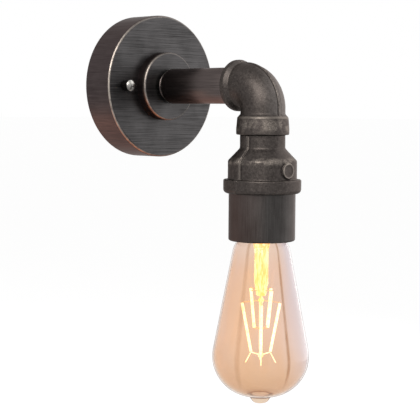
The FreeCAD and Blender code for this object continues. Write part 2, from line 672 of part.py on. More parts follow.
def terminal_screws():
    """Clamp screws, which press on the leads in their ways."""
    screws = []
    for place in clamp_places():
        screw = Part.makeCylinder(BLOCK_SCREW_RADIUS, BLOCK_SCREW_LENGTH, place, OUT)
        end = place + OUT * BLOCK_SCREW_LENGTH
        half = BLOCK_SLOT_WIDTH / 2
        slot = box_between((end.x - 2 * BLOCK_SCREW_RADIUS, end.x + 2 * BLOCK_SCREW_RADIUS),
                           (end.y - 1, end.y + BLOCK_SLOT_DEPTH), (end.z - half, end.z + half))
        screws.append(screw.cut(slot))
    return group(screws)


def fixing_screw():
    """Screw through the block into the strap's lower tab."""
    under_head = FreeCAD.Vector(FIXING_X, BLOCK_FACE, BLOCK_MIDDLE)
    return pan_screw(FIXING_SCREW_RADIUS, BLOCK_DEPTH + STRAP_THICK - ROOM_GAP,
                     FIXING_HEAD_RADIUS, FIXING_HEAD_HEIGHT, SMALL_SLOT_WIDTH, under_head, OUT * -1)


def supply_lead(side):
    """Lead from its way, through pipe and elbow, to its terminal in the holder."""
    way = way_places()[0 if side < 0 else -1]
    x = side * LEAD_SPACING / 2
    holder_x = side * TERMINAL_OFFSET
    bend = NIPPLE_FOOT - LEAD_SPREAD_DROP
    terminal_middle = HOLDER_TOP - TERMINAL_SIZE / 2
    points = [way,
              FreeCAD.Vector(way.x, way.y, BLOCK_TOP + LEAD_RISE),
              FreeCAD.Vector(x, PIPE_START - LEAD_ENTRY_RADIUS, 0),
              FreeCAD.Vector(x, -ARM_REACH, 0),
              FreeCAD.Vector(x, -ARM_REACH, bend),
              FreeCAD.Vector(holder_x, -ARM_REACH, HOLDER_TOP + LEAD_RADIUS),
              FreeCAD.Vector(holder_x, -ARM_REACH, terminal_middle - TERMINAL_SIZE / 2 + ROOM_GAP)]
    radii = [0, LEAD_ENTRY_RADIUS, LEAD_ENTRY_RADIUS, LEAD_ELBOW_RADIUS, LEAD_HOLDER_RADIUS,
             LEAD_HOLDER_RADIUS, 0]
    return round_bar(points, radii, LEAD_RADIUS)


def earth_lead():
    """Short lead from the middle way to the ring tag."""
    way = way_places()[BLOCK_WAYS // 2]
    tag_y = STRAP_END_FACE - EARTH_BARREL_RADIUS
    far = EARTH_TAG_RADIUS + EARTH_BARREL_LENGTH + EARTH_LOOP_REACH
    points = [way - UP * EARTH_LEAD_GRIP,
              FreeCAD.Vector(way.x, way.y, BLOCK_TOP + EARTH_LEAD_RISE),
              FreeCAD.Vector(far, WAY_Y, EARTH_LOOP_LOW),
              FreeCAD.Vector(far, tag_y, EARTH_SCREW_Z),
              FreeCAD.Vector(EARTH_TAG_RADIUS + EARTH_LEAD_IN_TAG, tag_y, EARTH_SCREW_Z)]
    return round_bar(points, [0, *EARTH_LEAD_RADII, 0], LEAD_RADIUS)


# ---- cup, hub, pipe ---------------------------------------------------------

def backplate_cup():
    """Pressed steel cup, open to the wall, with hub and stud holes."""
    inner_edge = max(CUP_EDGE_RADIUS - CUP_WALL, 0)
    profile = [(HUB_SPIGOT_RADIUS + THREAD_GAP, CUP_FACE),
               (CUP_RADIUS, CUP_FACE, CUP_EDGE_RADIUS), (CUP_RADIUS, 0),
               (CUP_RADIUS - CUP_WALL, 0), (CUP_RADIUS - CUP_WALL, CUP_INSIDE, inner_edge),
               (HUB_SPIGOT_RADIUS + THREAD_GAP, CUP_INSIDE)]
    cup = turned(arm_point, profile)
    holes = [Part.makeCylinder(CUP_STUD_HOLE_RADIUS, 2 * CUP_DEPTH, place, OUT)
             for place in stud_places()]
    return cup.cut(group(holes))


def hub_boss():
    """Turned hub with a rounded rim and a spigot in the cup's hole."""
    bore = PIPE_THREAD_RADIUS + THREAD_GAP
    profile = [(bore, CUP_INSIDE), (HUB_SPIGOT_RADIUS, CUP_INSIDE),
               (HUB_SPIGOT_RADIUS, CUP_FACE), (HUB_RADIUS, CUP_FACE),
               (HUB_RADIUS, HUB_FACE, HUB_RIM_RADIUS), (bore, HUB_FACE)]
    return turned(arm_point, profile)


def hub_lock_washer():
    """Toothed washer between locknut and cup."""
    bore = PIPE_THREAD_RADIUS + THREAD_GAP
    washer = Part.makeCylinder(WASHER_RADIUS, WASHER_THICK, OUT * -WASHER_FACE, OUT)
    cutters = [Part.makeCylinder(bore, 3 * WASHER_THICK, OUT * (-WASHER_FACE - WASHER_THICK), OUT)]
    half = WASHER_NOTCH_WIDTH / 2
    notch = box_between((-half, half), (WASHER_FACE + 1, CUP_INSIDE - 1),
                        (WASHER_RADIUS - WASHER_TOOTH_DEPTH, WASHER_RADIUS + 1))
    for i in range(WASHER_TEETH):
        tooth_gap = notch.copy()
        tooth_gap.rotate(ORIGIN, OUT, 360 * i / WASHER_TEETH)
        cutters.append(tooth_gap)
    return washer.cut(group(cutters))


def hub_locknut():
    """Hexagonal backnut on the pipe's thread, inside the cup."""
    return hex_nut(LOCKNUT_ACROSS_FLATS, LOCKNUT_THICK, LOCKNUT_CHAMFER,
                   PIPE_THREAD_RADIUS + THREAD_GAP, OUT * -LOCKNUT_FACE, OUT)


def arm_pipe():
    """Pipe with a turned-down threaded end and a chamfered shoulder."""
    c = PIPE_EDGE_CHAMFER
    profile = [(PIPE_BORE_RADIUS, PIPE_START), (PIPE_THREAD_RADIUS - c, PIPE_START),
               (PIPE_THREAD_RADIUS, PIPE_START - c), (PIPE_THREAD_RADIUS, PIPE_SHOULDER),
               (PIPE_RADIUS - c, PIPE_SHOULDER), (PIPE_RADIUS, PIPE_SHOULDER - c),
               (PIPE_RADIUS, PIPE_END + c), (PIPE_RADIUS - c, PIPE_END),
               (PIPE_BORE_RADIUS, PIPE_END)]
    return turned(arm_point, profile)


# ---- elbow and reducer --------------------------------------------------------

def bend(radius):
    """Quarter ring of round section that joins the arm's axis to the drop axis."""
    start = FreeCAD.Vector(0, BEND_START, 0)
    disc = Part.Face(Part.Wire(Part.makeCircle(radius, start, OUT)))
    return disc.revolve(start + DOWN * ELBOW_BEND_RADIUS, RIGHT, 90)


def elbow():
    """Cast elbow with a bead at each mouth and a parting line round its back."""
    arm_face = ELBOW_FACE
    bead_back = arm_face - ARM_BEAD_WIDTH
    r = BEAD_EDGE_RADIUS
    arm_bead = turned(arm_point, [(0, arm_face), (ARM_BEAD_RADIUS, arm_face, r),
                                  (ARM_BEAD_RADIUS, bead_back, ARM_BEAD_ROUND),
                                  (ELBOW_RADIUS, bead_back - ARM_BEAD_TAPER),
                                  (0, bead_back - ARM_BEAD_TAPER)])
    drop_bead = turned(drop_point, [(0, -ELBOW_BEND_RADIUS), (ELBOW_RADIUS, -ELBOW_BEND_RADIUS),
                                    (ELBOW_RADIUS, -DROP_BEAD_SLOPE_TOP),
                                    (DROP_BEAD_TOP_RADIUS, -DROP_BEAD_TOP),
                                    (DROP_BEAD_RADIUS, -DROP_BEAD_SHOULDER, BEAD_SHOULDER_RADIUS),
                                    (DROP_BEAD_RADIUS, ELBOW_FOOT, r), (0, ELBOW_FOOT)])
    throat = Part.makeCylinder(ELBOW_RADIUS, arm_face - BEND_START, OUT * -arm_face, OUT)
    ridge_start = FreeCAD.Vector(0, BEND_START, 0)
    ridge_face = outline_face(
        lambda x, z: FreeCAD.Vector(x, BEND_START, z),
        [(-PARTING_WIDTH / 2, 0), (PARTING_WIDTH / 2, 0),
         (PARTING_WIDTH / 2, ELBOW_RADIUS + PARTING_HEIGHT, PARTING_WIDTH * 0.3),
         (-PARTING_WIDTH / 2, ELBOW_RADIUS + PARTING_HEIGHT, PARTING_WIDTH * 0.3)])
    ridge = ridge_face.revolve(ridge_start + DOWN * ELBOW_BEND_RADIUS, RIGHT, 90)
    ridge_arm = ridge_face.extrude(OUT * (BEND_START - arm_face + r))
    ridge_leg = box_between((-PARTING_WIDTH / 2, PARTING_WIDTH / 2),
                            (-ARM_REACH, -ARM_REACH - ELBOW_RADIUS - PARTING_HEIGHT),
                            (-ELBOW_BEND_RADIUS, -DROP_BEAD_SLOPE_TOP))
    body = fused([bend(ELBOW_RADIUS), throat, arm_bead, drop_bead, ridge, ridge_arm, ridge_leg])
    pipe_socket = Part.makeCylinder(PIPE_RADIUS + THREAD_GAP, PIPE_IN_ELBOW,
                                    OUT * -arm_face, OUT)
    reducer_socket = drop_cylinder(SPIGOT_RADIUS + THREAD_GAP, ELBOW_FOOT + SPIGOT_LENGTH,
                                   ELBOW_FOOT)
    arm_bore = Part.makeCylinder(ELBOW_BORE_RADIUS, arm_face - BEND_START, OUT * -arm_face, OUT)
    drop_bore = drop_cylinder(ELBOW_BORE_RADIUS, -ELBOW_BEND_RADIUS, ELBOW_FOOT)
    body = body.cut(fused([bend(ELBOW_BORE_RADIUS), arm_bore, drop_bore]))
    return body.cut(pipe_socket).cut(reducer_socket)


def mould_rib(side):
    """Raised parting rib down one side of the reducer, following its outline."""
    top = ELBOW_FOOT
    h = RIB_HEIGHT
    outer = [(NECK_RADIUS + h, top), (NECK_RADIUS + h, NECK_FOOT), (BARREL_RADIUS + h, CONE_FOOT),
             (BARREL_RADIUS + h, BARREL_FOOT)]
    inner = [(BARREL_RADIUS - REDUCER_WALL / 2, BARREL_FOOT),
             (BARREL_RADIUS - REDUCER_WALL / 2, CONE_FOOT), (NECK_RADIUS - 1, NECK_FOOT),
             (NECK_RADIUS - 1, top)]
    face = outline_face(lambda r, z: FreeCAD.Vector(side * r, -ARM_REACH - RIB_WIDTH / 2, z),
                        outer + inner)
    return face.extrude(FreeCAD.Vector(0, RIB_WIDTH, 0))


def reducer():
    """Cast reducing socket with an inner web, mould ribs and a plain round boss."""
    r = BEAD_EDGE_RADIUS
    spigot_top = ELBOW_FOOT + SPIGOT_LENGTH - ROOM_GAP
    outside = [(0, spigot_top), (SPIGOT_RADIUS - SPIGOT_CHAMFER, spigot_top),
               (SPIGOT_RADIUS, spigot_top - SPIGOT_CHAMFER), (SPIGOT_RADIUS, ELBOW_FOOT),
               (NECK_RADIUS, ELBOW_FOOT),
               (NECK_RADIUS, NECK_FOOT, CONE_EDGE_RADIUS), (BARREL_RADIUS, CONE_FOOT, CONE_EDGE_RADIUS),
               (BARREL_RADIUS, BARREL_FOOT), (REDUCER_BEAD_RADIUS, BARREL_FOOT, r),
               (REDUCER_BEAD_RADIUS, REDUCER_FOOT, REDUCER_BEAD_EDGE_RADIUS), (0, REDUCER_FOOT)]
    body = turned(drop_point, outside)
    boss_reach = BARREL_RADIUS + BOSS_HEIGHT
    boss_start = drop_point(0, ELBOW_FOOT - BOSS_DROP)
    boss = Part.makeCylinder(BOSS_RADIUS, boss_reach, boss_start, OUT)
    boss = boss.cut(Part.makeCylinder(BOSS_DISH_RADIUS, BARREL_RADIUS,
                                      boss_start + OUT * (boss_reach - BOSS_DISH_DEPTH), OUT))
    body = fused([body, mould_rib(-1), mould_rib(1), boss])
    upper_bore = [(0, spigot_top), (SPIGOT_BORE_RADIUS, spigot_top),
                  (SPIGOT_BORE_RADIUS, WEB_TOP), (0, WEB_TOP)]
    throat = NECK_RADIUS - REDUCER_WALL
    seat = SLEEVE_RADIUS + THREAD_GAP
    lower_bore = [(0, WEB_FOOT), (throat, WEB_FOOT), (throat, NECK_FOOT),
                  (BARREL_BORE_RADIUS, CONE_FOOT), (BARREL_BORE_RADIUS, SLEEVE_TOP),
                  (seat, SLEEVE_TOP), (seat, REDUCER_FOOT), (0, REDUCER_FOOT)]
    nipple_hole = drop_cylinder(NIPPLE_RADIUS + THREAD_GAP, WEB_TOP + 1, WEB_FOOT - 1)
    body = body.cut(turned(drop_point, upper_bore)).cut(turned(drop_point, lower_bore))
    return body.cut(nipple_hole)


# ---- lampholder ------------------------------------------------------------------

def lampholder_sleeve():
    """Plain tube over the lampholder, screwed into the reducer's lower bead."""
    inner = SLEEVE_INNER_RADIUS
    return turned(drop_point, [(inner, SLEEVE_TOP), (SLEEVE_RADIUS, SLEEVE_TOP),
                               (SLEEVE_RADIUS, SLEEVE_FOOT, SLEEVE_EDGE_RADIUS),
                               (inner, SLEEVE_FOOT, SLEEVE_INNER_EDGE_RADIUS)])


def holder_nipple():
    """Hollow threaded nipple that hangs the lampholder from the web."""
    return turned(drop_point, [(NIPPLE_BORE_RADIUS, WEB_TOP), (NIPPLE_RADIUS, WEB_TOP),
                               (NIPPLE_RADIUS, NIPPLE_FOOT), (NIPPLE_BORE_RADIUS, NIPPLE_FOOT)])


def bridge_screw_places():
    """Where the two screws of the bridge stand on the holder."""
    return [drop_point(0, HOLDER_TOP) + OUT * (side * BRIDGE_SPAN / 2) for side in (-1, 1)]


def holder_bridge():
    """Steel stirrup with a tapped hole, screwed down on the porcelain."""
    t = BRIDGE_THICK
    knee = BRIDGE_SPAN / 2 - BRIDGE_FOOT / 2
    foot = BRIDGE_SPAN / 2 + BRIDGE_FOOT / 2
    right = [(knee - t, BRIDGE_TOP, t), (knee, HOLDER_TOP + t, 0), (foot, HOLDER_TOP + t),
             (foot, HOLDER_TOP), (knee - t, HOLDER_TOP, 0), (knee - 2 * t, BRIDGE_TOP - t)]
    left = [(-y, z, r[0] if r else 0) for y, z, *r in reversed(right)]
    face = outline_face(lambda y, z: FreeCAD.Vector(-BRIDGE_WIDTH / 2, -ARM_REACH + y, z),
                        right + left)
    bridge = face.extrude(RIGHT * BRIDGE_WIDTH)
    holes = [drop_cylinder(NIPPLE_RADIUS + THREAD_GAP, BRIDGE_TOP + 1, BRIDGE_TOP - 2 * t)]
    for place in bridge_screw_places():
        holes.append(Part.makeCylinder(BRIDGE_SCREW_RADIUS + THREAD_GAP, 6 * t,
                                       place + DOWN * 2 * t, UP))
    return bridge.cut(group(holes))


def bridge_screws():
    """Two screws that hold the bridge on the porcelain."""
    return group([pan_screw(BRIDGE_SCREW_RADIUS, BRIDGE_SCREW_LENGTH, BRIDGE_SCREW_HEAD_RADIUS,
                            BRIDGE_SCREW_HEAD_HEIGHT, SMALL_SLOT_WIDTH, place + UP * BRIDGE_THICK, DOWN)
                  for place in bridge_screw_places()])


def pocket_box(side):
    """Pocket in the porcelain for one terminal, open to the top and the side."""
    near = TERMINAL_OFFSET - TERMINAL_SIZE / 2 - ROOM_GAP
    return box_between((side * near, side * (HOLDER_RADIUS + 1)),
                       (-ARM_REACH - POCKET_WIDTH / 2, -ARM_REACH + POCKET_WIDTH / 2),
                       (HOLDER_TOP + 1, HOLDER_TOP - POCKET_DEPTH))


def lampholder_body():
    """Porcelain body with a lamp cavity below and two terminal pockets above."""
    e = HOLDER_EDGE_RADIUS
    shelf = HOLDER_CAVITY_RADIUS - HOLDER_SHELF
    shell_foot = CAVITY_TOP - CONTACT_RISE - SHELL_LENGTH
    profile = [(0, HOLDER_TOP), (HOLDER_RADIUS, HOLDER_TOP, e), (HOLDER_RADIUS, HOLDER_FOOT, e),
               (HOLDER_CAVITY_RADIUS, HOLDER_FOOT, HOLDER_MOUTH_RADIUS),
               (HOLDER_CAVITY_RADIUS, shell_foot), (HOLDER_CAVITY_RADIUS, CAVITY_TOP -
                                                    CONTACT_RISE),
               (shelf, CAVITY_TOP - CONTACT_RISE), (shelf, CAVITY_TOP), (0, CAVITY_TOP)]
    body = turned(drop_point, profile)
    holes = [Part.makeCylinder(BRIDGE_SCREW_RADIUS + THREAD_GAP, BRIDGE_SCREW_LENGTH + 1,
                               place + UP, DOWN) for place in bridge_screw_places()]
    return body.cut(group(holes + [pocket_box(-1), pocket_box(1)]))


def screw_shell():
    """Brass shell that takes the lamp's cap."""
    top = CAVITY_TOP - CONTACT_RISE
    outer = SHELL_INNER_RADIUS + SHELL_WALL
    lip = HOLDER_CAVITY_RADIUS
    inner_edge = SHELL_INNER_RADIUS - SHELL_TOP_REACH
    return turned(drop_point, [(inner_edge, top), (lip, top), (lip, top - SHELL_LIP_THICK),
                               (outer, top - SHELL_LIP_THICK), (outer, top - SHELL_LENGTH),
                               (SHELL_INNER_RADIUS, top - SHELL_LENGTH),
                               (SHELL_INNER_RADIUS, top - SHELL_WALL),
                               (inner_edge, top - SHELL_WALL)])


def centre_contact():
    """Brass leaf that bears on the lamp's end contact."""
    t = CONTACT_THICK
    rise = CONTACT_RISE
    reach = HOLDER_CAVITY_RADIUS - CONTACT_MARGIN
    tip = CONTACT_TIP
    top = CAVITY_TOP
    points = [(-reach, top), (-reach, top - t), (-reach + CONTACT_FOOT, top - t),
              (-tip, top - t - rise), (tip, top - t - rise), (tip, top - rise),
              (-tip, top - rise), (-reach + CONTACT_FOOT, top)]
    face = outline_face(lambda y, z: FreeCAD.Vector(-CONTACT_WIDTH / 2, -ARM_REACH + y, z), points)
    return face.extrude(RIGHT * CONTACT_WIDTH)


def holder_terminals():
    """Two brass terminals in the porcelain's pockets."""
    blocks = []
    for side in (-1, 1):
        middle = side * TERMINAL_OFFSET
        half = TERMINAL_SIZE / 2
        block = box_between((middle - half, middle + half), (-ARM_REACH - half, -ARM_REACH + half),
                            (HOLDER_TOP - POCKET_DEPTH, HOLDER_TOP - POCKET_DEPTH + TERMINAL_SIZE))
        way = Part.makeCylinder(TERMINAL_BORE_RADIUS, 3 * TERMINAL_SIZE,
                                drop_point(middle, HOLDER_TOP - 2 * TERMINAL_SIZE), UP)
        tap = Part.makeCylinder(TERMINAL_SCREW_RADIUS + THREAD_GAP, TERMINAL_SIZE,
                                drop_point(middle, terminal_screw_z()), RIGHT * side)
        blocks.append(block.cut(group([way, tap])))
    return group(blocks)


def terminal_screw_z():
    """Height of the holder's clamp screws."""
    return HOLDER_TOP - POCKET_DEPTH + TERMINAL_SIZE / 2


def holder_terminal_screws():
    """Clamp screws of the holder's terminals."""
    screws = []
    for side in (-1, 1):
        out = RIGHT * side
        under_head = drop_point(side * (TERMINAL_OFFSET + TERMINAL_SIZE / 2), terminal_screw_z())
        screws.append(pan_screw(TERMINAL_SCREW_RADIUS, TERMINAL_SIZE / 2 - LEAD_RADIUS,
                                TERMINAL_HEAD_RADIUS, TERMINAL_HEAD_HEIGHT, SMALL_SLOT_WIDTH,
                                under_head, out * -1))
    return group(screws)


# ---- bulb ------------------------------------------------------------------------

def end_contact():
    """Solder contact at the top of the lamp's cap."""
    top = LAMP_TOP
    foot = top - END_CONTACT_HEIGHT
    return turned(drop_point, [(0, top), (END_CONTACT_RADIUS, top, END_CONTACT_HEIGHT * 0.7),
                               (END_CONTACT_RADIUS, foot), (0, foot)])


def cap_insulator():
    """Black glass insulator between end contact and cap."""
    top = CAP_TOP + INSULATOR_HEIGHT
    return turned(drop_point, [(0, top), (END_CONTACT_RADIUS + INSULATOR_MARGIN, top),
                               (CAP_SHOULDER_RADIUS, CAP_TOP), (0, CAP_TOP)])


def bulb_cap():
    """Thin metal screw cap, with its shoulder, thread band and plain rim."""
    w = CAP_WALL
    rim_top = CAP_RIM + GLASS_IN_CAP - CAP_RIM_BITE
    band_foot = rim_top + CAP_TAPER_LENGTH
    band_top = CAP_TOP - CAP_SHOULDER_DROP
    grip = NECK_GLASS_RADIUS + THREAD_GAP
    outer = [(CAP_SHOULDER_RADIUS, CAP_TOP), (CAP_RADIUS, band_top), (CAP_RADIUS, band_foot),
             (CAP_NECK_RADIUS, rim_top), (CAP_NECK_RADIUS, CAP_RIM)]
    inner = [(grip, CAP_RIM), (grip, rim_top + CAP_TAPER_WALL),
             (CAP_RADIUS - w, band_foot + CAP_TAPER_WALL), (CAP_RADIUS - w, band_top - w / 2),
             (CAP_SHOULDER_RADIUS, CAP_TOP - w), (0, CAP_TOP - w), (0, CAP_TOP)]
    return turned(drop_point, outer + inner)


def glass_blank(inset):
    """Solid within the glass's outer face, or within the line inset from it."""
    neck = NECK_GLASS_RADIUS - inset
    neck_top = CAP_RIM + GLASS_IN_CAP
    bottom = CAP_RIM - BOTTOM_DROP + inset
    flank = (FLANK_CORNER_RADIUS - SHOULDER_RADIUS) / (BOTTOM_DROP - SHOULDER_DROP)
    corner = FLANK_CORNER_RADIUS - inset * (1 + flank)
    outline = [(0, neck_top), (neck, neck_top),
               (neck, CAP_RIM - NECK_BELOW_RIM, NECK_GLASS_ROUND),
               (SHOULDER_RADIUS - inset, CAP_RIM - SHOULDER_DROP, SHOULDER_ROUND),
               (corner, bottom, BELLY_ROUND - inset)]
    if inset == 0:
        outline += [(NUB_ROOT_RADIUS, bottom, NUB_ROOT_ROUND),
                    (NUB_TIP_RADIUS, bottom - NUB_LENGTH, NUB_TIP_ROUND),
                    (0, bottom - NUB_LENGTH)]
    else:
        outline.append((0, bottom))
    return turned(drop_point, outline)


def bulb_glass():
    """Pear-shaped envelope with a drawn tip, open at the neck."""
    return glass_blank(0).cut(glass_blank(GLASS_WALL))


def glass_stem():
    """Flared glass stem, pinched round its wires, with the post of the cages."""
    neck_inner = NECK_GLASS_RADIUS - GLASS_WALL
    top = CAP_RIM + GLASS_IN_CAP * STEM_TOP_SHARE
    pinch = CAP_RIM - STEM_DROP
    flare = turned(drop_point, [(0, top), (neck_inner, top),
                                (neck_inner, top - STEM_SEAL_LENGTH),
                                (STEM_RADIUS + STEM_FLARE_STAND,
                                 top - STEM_FLARE_LENGTH * STEM_BEND_SHARE, STEM_FLARE_ROUND),
                                (STEM_RADIUS, top - STEM_FLARE_LENGTH),
                                (STEM_RADIUS, pinch + STEM_PINCH_LENGTH),
                                (STEM_PINCH_RADIUS, pinch, STEM_PINCH_RADIUS / 3), (0, pinch)])
    post = drop_cylinder(POST_RADIUS, pinch + 1, CAP_RIM - POST_DROP)
    beads = [Part.makeSphere(BEAD_RADIUS, drop_point(0, CAP_RIM - drop))
             for drop in (UPPER_BEAD_DROP, POST_DROP)]
    return fused([flare, post] + beads)


def cage_point(place, turn):
    """Point of a cage, from its radius, its drop and its turn about the axis."""
    radius, drop = place
    angle = math.radians(turn)
    return (drop_point(0, CAP_RIM - drop)
            + FreeCAD.Vector(radius * math.cos(angle), radius * math.sin(angle), 0))


def stick_turns(cage):
    """Turns of the sticks of the lower cage, 0, or the upper cage, 1."""
    step = 360 / FILAMENTS_PER_CAGE
    return [CAGE_TURN + step * (i + cage / 2) for i in range(FILAMENTS_PER_CAGE)]


def cages():
    """Number, top and foot of each cage of filament sticks."""
    return [(0, LOWER_CAGE_TOP, LOWER_CAGE_FOOT), (1, UPPER_CAGE_TOP, UPPER_CAGE_FOOT)]


def filament_sticks():
    """Straight filament sticks, in a lower and an upper cage."""
    sticks = []
    for cage, top, foot in cages():
        for turn in stick_turns(cage):
            sticks.append(rod(cage_point(top, turn), cage_point(foot, turn), FILAMENT_RADIUS))
    return group(sticks)


def spoke(turn, drop, seat_radius, end):
    """Support wire from the surface of the stem, post or bead to an end point."""
    centre = drop_point(0, CAP_RIM - drop)
    way = (end - centre).normalize()
    return rod(centre + way * (seat_radius + WIRE_SEAT_GAP), end, WIRE_RADIUS)


def cage_wires():
    """Support wires to both ends of each stick, and the legs of the lower cage."""
    wires = []
    seats = [(UPPER_BEAD_DROP, BEAD_RADIUS, POST_DROP, BEAD_RADIUS),
             (STEM_DROP - STEM_PINCH_RADIUS, STEM_PINCH_RADIUS * 1.25, UPPER_SPOKE_DROP,
              POST_RADIUS * 1.1)]
    for cage, top, foot in cages():
        top_drop, top_seat, foot_drop, foot_seat = seats[cage]
        for turn in stick_turns(cage):
            high = cage_point(top, turn)
            low = cage_point(foot, turn)
            beyond = (low - high).normalize() * (1.5 * WIRE_RADIUS + WIRE_SEAT_GAP)
            wires.append(spoke(turn, top_drop, top_seat, high - beyond))
            wires.append(spoke(turn, foot_drop, foot_seat, low + beyond))
            if cage == 0:
                leg = cage_point((foot[0] + LEG_REACH, foot[1] + LEG_DROP), turn)
                start = low + beyond + (leg - low).normalize() * (2 * WIRE_RADIUS)
                wires.append(rod(start, leg, WIRE_RADIUS))
    return group(wires)


def bulb_driver():
    """Small circuit board inside the cap, between insulator and stem."""
    top = CAP_TOP - CAP_WALL
    half = DRIVER_WIDTH / 2
    return box_between((-half, half),
                       (-ARM_REACH - DRIVER_THICK / 2, -ARM_REACH + DRIVER_THICK / 2),
                       (top, top - DRIVER_LENGTH))


# ---- nodes -------------------------------------------------------------------------

LEFT_STUD, RIGHT_STUD = stud_places()

NODES = {
    "wall_bracket": wall_bracket,
    "stud_screws": stud_screws,
    "stud_locknuts": stud_locknuts,
    "cap_nut_left": lambda: cap_nut(LEFT_STUD),
    "cap_nut_right": lambda: cap_nut(RIGHT_STUD),
    "earth_screw": earth_screw,
    "earth_tag": earth_tag,
    "earth_lead": earth_lead,
    "terminal_block": terminal_block,
    "terminal_inserts": terminal_inserts,
    "terminal_screws": terminal_screws,
    "terminal_fixing_screw": fixing_screw,
    "live_lead": lambda: supply_lead(-1),
    "neutral_lead": lambda: supply_lead(1),
    "backplate_cup": backplate_cup,
    "hub_boss": hub_boss,
    "hub_lock_washer": hub_lock_washer,
    "hub_locknut": hub_locknut,
    "arm_pipe": arm_pipe,
    "elbow": elbow,
    "reducer": reducer,
    "lampholder_sleeve": lampholder_sleeve,
    "holder_nipple": holder_nipple,
    "holder_bridge": holder_bridge,
    "holder_bridge_screws": bridge_screws,
    "lampholder_body": lampholder_body,
    "screw_shell": screw_shell,
    "centre_contact": centre_contact,
    "holder_terminals": holder_terminals,
    "holder_terminal_screws": holder_terminal_screws,
    "end_contact": end_contact,
    "cap_insulator": cap_insulator,
    "bulb_cap": bulb_cap,
    "bulb_glass": bulb_glass,
    "glass_stem": glass_stem,
    "filament_sticks": filament_sticks,
    "cage_wires": cage_wires,
    "bulb_driver": bulb_driver,
}

os.makedirs("parts", exist_ok=True)
for name, make in NODES.items():
    shape = make()
    print(name, "solids", len(shape.Solids), "volume", round(shape.Volume, 1),
          "valid", shape.isValid())
    shape.exportStep("parts/" + name + ".step")
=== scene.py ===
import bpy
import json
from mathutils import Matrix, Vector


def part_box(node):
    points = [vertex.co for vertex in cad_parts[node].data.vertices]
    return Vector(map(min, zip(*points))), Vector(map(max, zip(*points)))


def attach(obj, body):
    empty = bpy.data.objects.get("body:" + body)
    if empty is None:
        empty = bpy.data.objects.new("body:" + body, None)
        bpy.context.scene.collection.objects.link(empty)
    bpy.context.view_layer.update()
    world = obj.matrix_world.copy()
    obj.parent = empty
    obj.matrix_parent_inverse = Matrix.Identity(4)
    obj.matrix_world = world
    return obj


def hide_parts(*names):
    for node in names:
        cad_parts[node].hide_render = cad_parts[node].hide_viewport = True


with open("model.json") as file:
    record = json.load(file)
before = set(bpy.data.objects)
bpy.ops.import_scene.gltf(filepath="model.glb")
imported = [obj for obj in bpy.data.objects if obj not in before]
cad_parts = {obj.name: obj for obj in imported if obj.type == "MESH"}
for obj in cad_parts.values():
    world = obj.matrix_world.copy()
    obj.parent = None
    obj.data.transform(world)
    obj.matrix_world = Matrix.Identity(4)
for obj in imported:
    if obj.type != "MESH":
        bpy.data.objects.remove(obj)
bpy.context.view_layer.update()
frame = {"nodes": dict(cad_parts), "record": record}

import json
import math

import bmesh
import bpy
from mathutils import Matrix, Vector, noise

# Finishes, stage and light for an industrial pipe wall light.  Lengths are in
# metres.  The wall is the plane y = 0, the arm runs along -Y and +Z is up.

MM = 0.001

# ---- camera -------------------------------------------------------------------

CAMERA_PLACE = (-0.6145, -0.7042, -0.0148)
CAMERA_AZIMUTH = math.radians(-44.2538)
CAMERA_PITCH = math.radians(4.5757)
CAMERA_ROLL = math.radians(0.3744)
CAMERA_LENS = 109.73             # millimetres, on a sensor 36 mm wide

# ---- stage and light -------------------------------------------------------------

FLOOR_DROP = 0.42                # wall plane's origin down to the floor
FLOOR_SIZE = 80.0
FLOOR_COLOUR = (0.86, 0.86, 0.855, 1)
BACKGROUND_COLOUR = (1, 1, 1, 1)
FLOOR_OWN_SHARE = 0.25           # how much of the floor's own shading is added to the white
FLOOR_WHITE = 0.88
SOFT_LIGHT_LEVEL = 0.42

# ---- sizes worked out from the frame ----------------------------------------------


def middle(node):
    """Middle of a CAD node's box."""
    low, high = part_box(node)
    return (low + high) / 2


def low_high(node, axis):
    """Lowest and highest coordinate of a CAD node along one axis."""
    low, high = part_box(node)
    return low[axis], high[axis]


DROP_AXIS = middle("lampholder_sleeve")
PIPE_SHOULDER_GAP = 2.6 * MM
CUP_FACE = low_high("backplate_cup", 1)[0]
HUB_FACE = low_high("hub_boss", 1)[0]
PIPE_SHOULDER = HUB_FACE - PIPE_SHOULDER_GAP


# ---- node helpers -------------------------------------------------------------------

def new_material(name):
    """Node material with one Principled shader; returns it with its tree and shader."""
    made = bpy.data.materials.new(name)
    made.use_nodes = True
    return made, made.node_tree, made.node_tree.nodes["Principled BSDF"]


def set_inputs(shader, **values):
    """Sets sockets of a shader by name, with _ for each space."""
    for name, value in values.items():
        shader.inputs[name.replace("_", " ")].default_value = value


def place_vector(tree, stretch=(1, 1, 1)):
    """Object coordinates in millimetres, stretched along each axis."""
    coords = tree.nodes.new("ShaderNodeTexCoord")
    mapping = tree.nodes.new("ShaderNodeMapping")
    mapping.inputs["Scale"].default_value = [s / MM for s in stretch]
    tree.links.new(coords.outputs["Object"], mapping.inputs["Vector"])
    return mapping.outputs["Vector"]


def noise_value(tree, vector, scale, detail=4.0, roughness=0.55, distortion=0.0):
    """Noise between 0 and 1; scale is in waves per millimetre."""
    node = tree.nodes.new("ShaderNodeTexNoise")
    node.inputs["Scale"].default_value = scale
    node.inputs["Detail"].default_value = detail
    node.inputs["Roughness"].default_value = roughness
    node.inputs["Distortion"].default_value = distortion
    tree.links.new(vector, node.inputs["Vector"])
    return node.outputs["Fac"]


def ranged(tree, value, low, high, out_low=0.0, out_high=1.0):
    """value mapped from low..high to out_low..out_high, clamped."""
    node = tree.nodes.new("ShaderNodeMapRange")
    for name, number in (("From Min", low), ("From Max", high), ("To Min", out_low),
                         ("To Max", out_high)):
        node.inputs[name].default_value = number
    tree.links.new(value, node.inputs["Value"])
    return node.outputs["Result"]


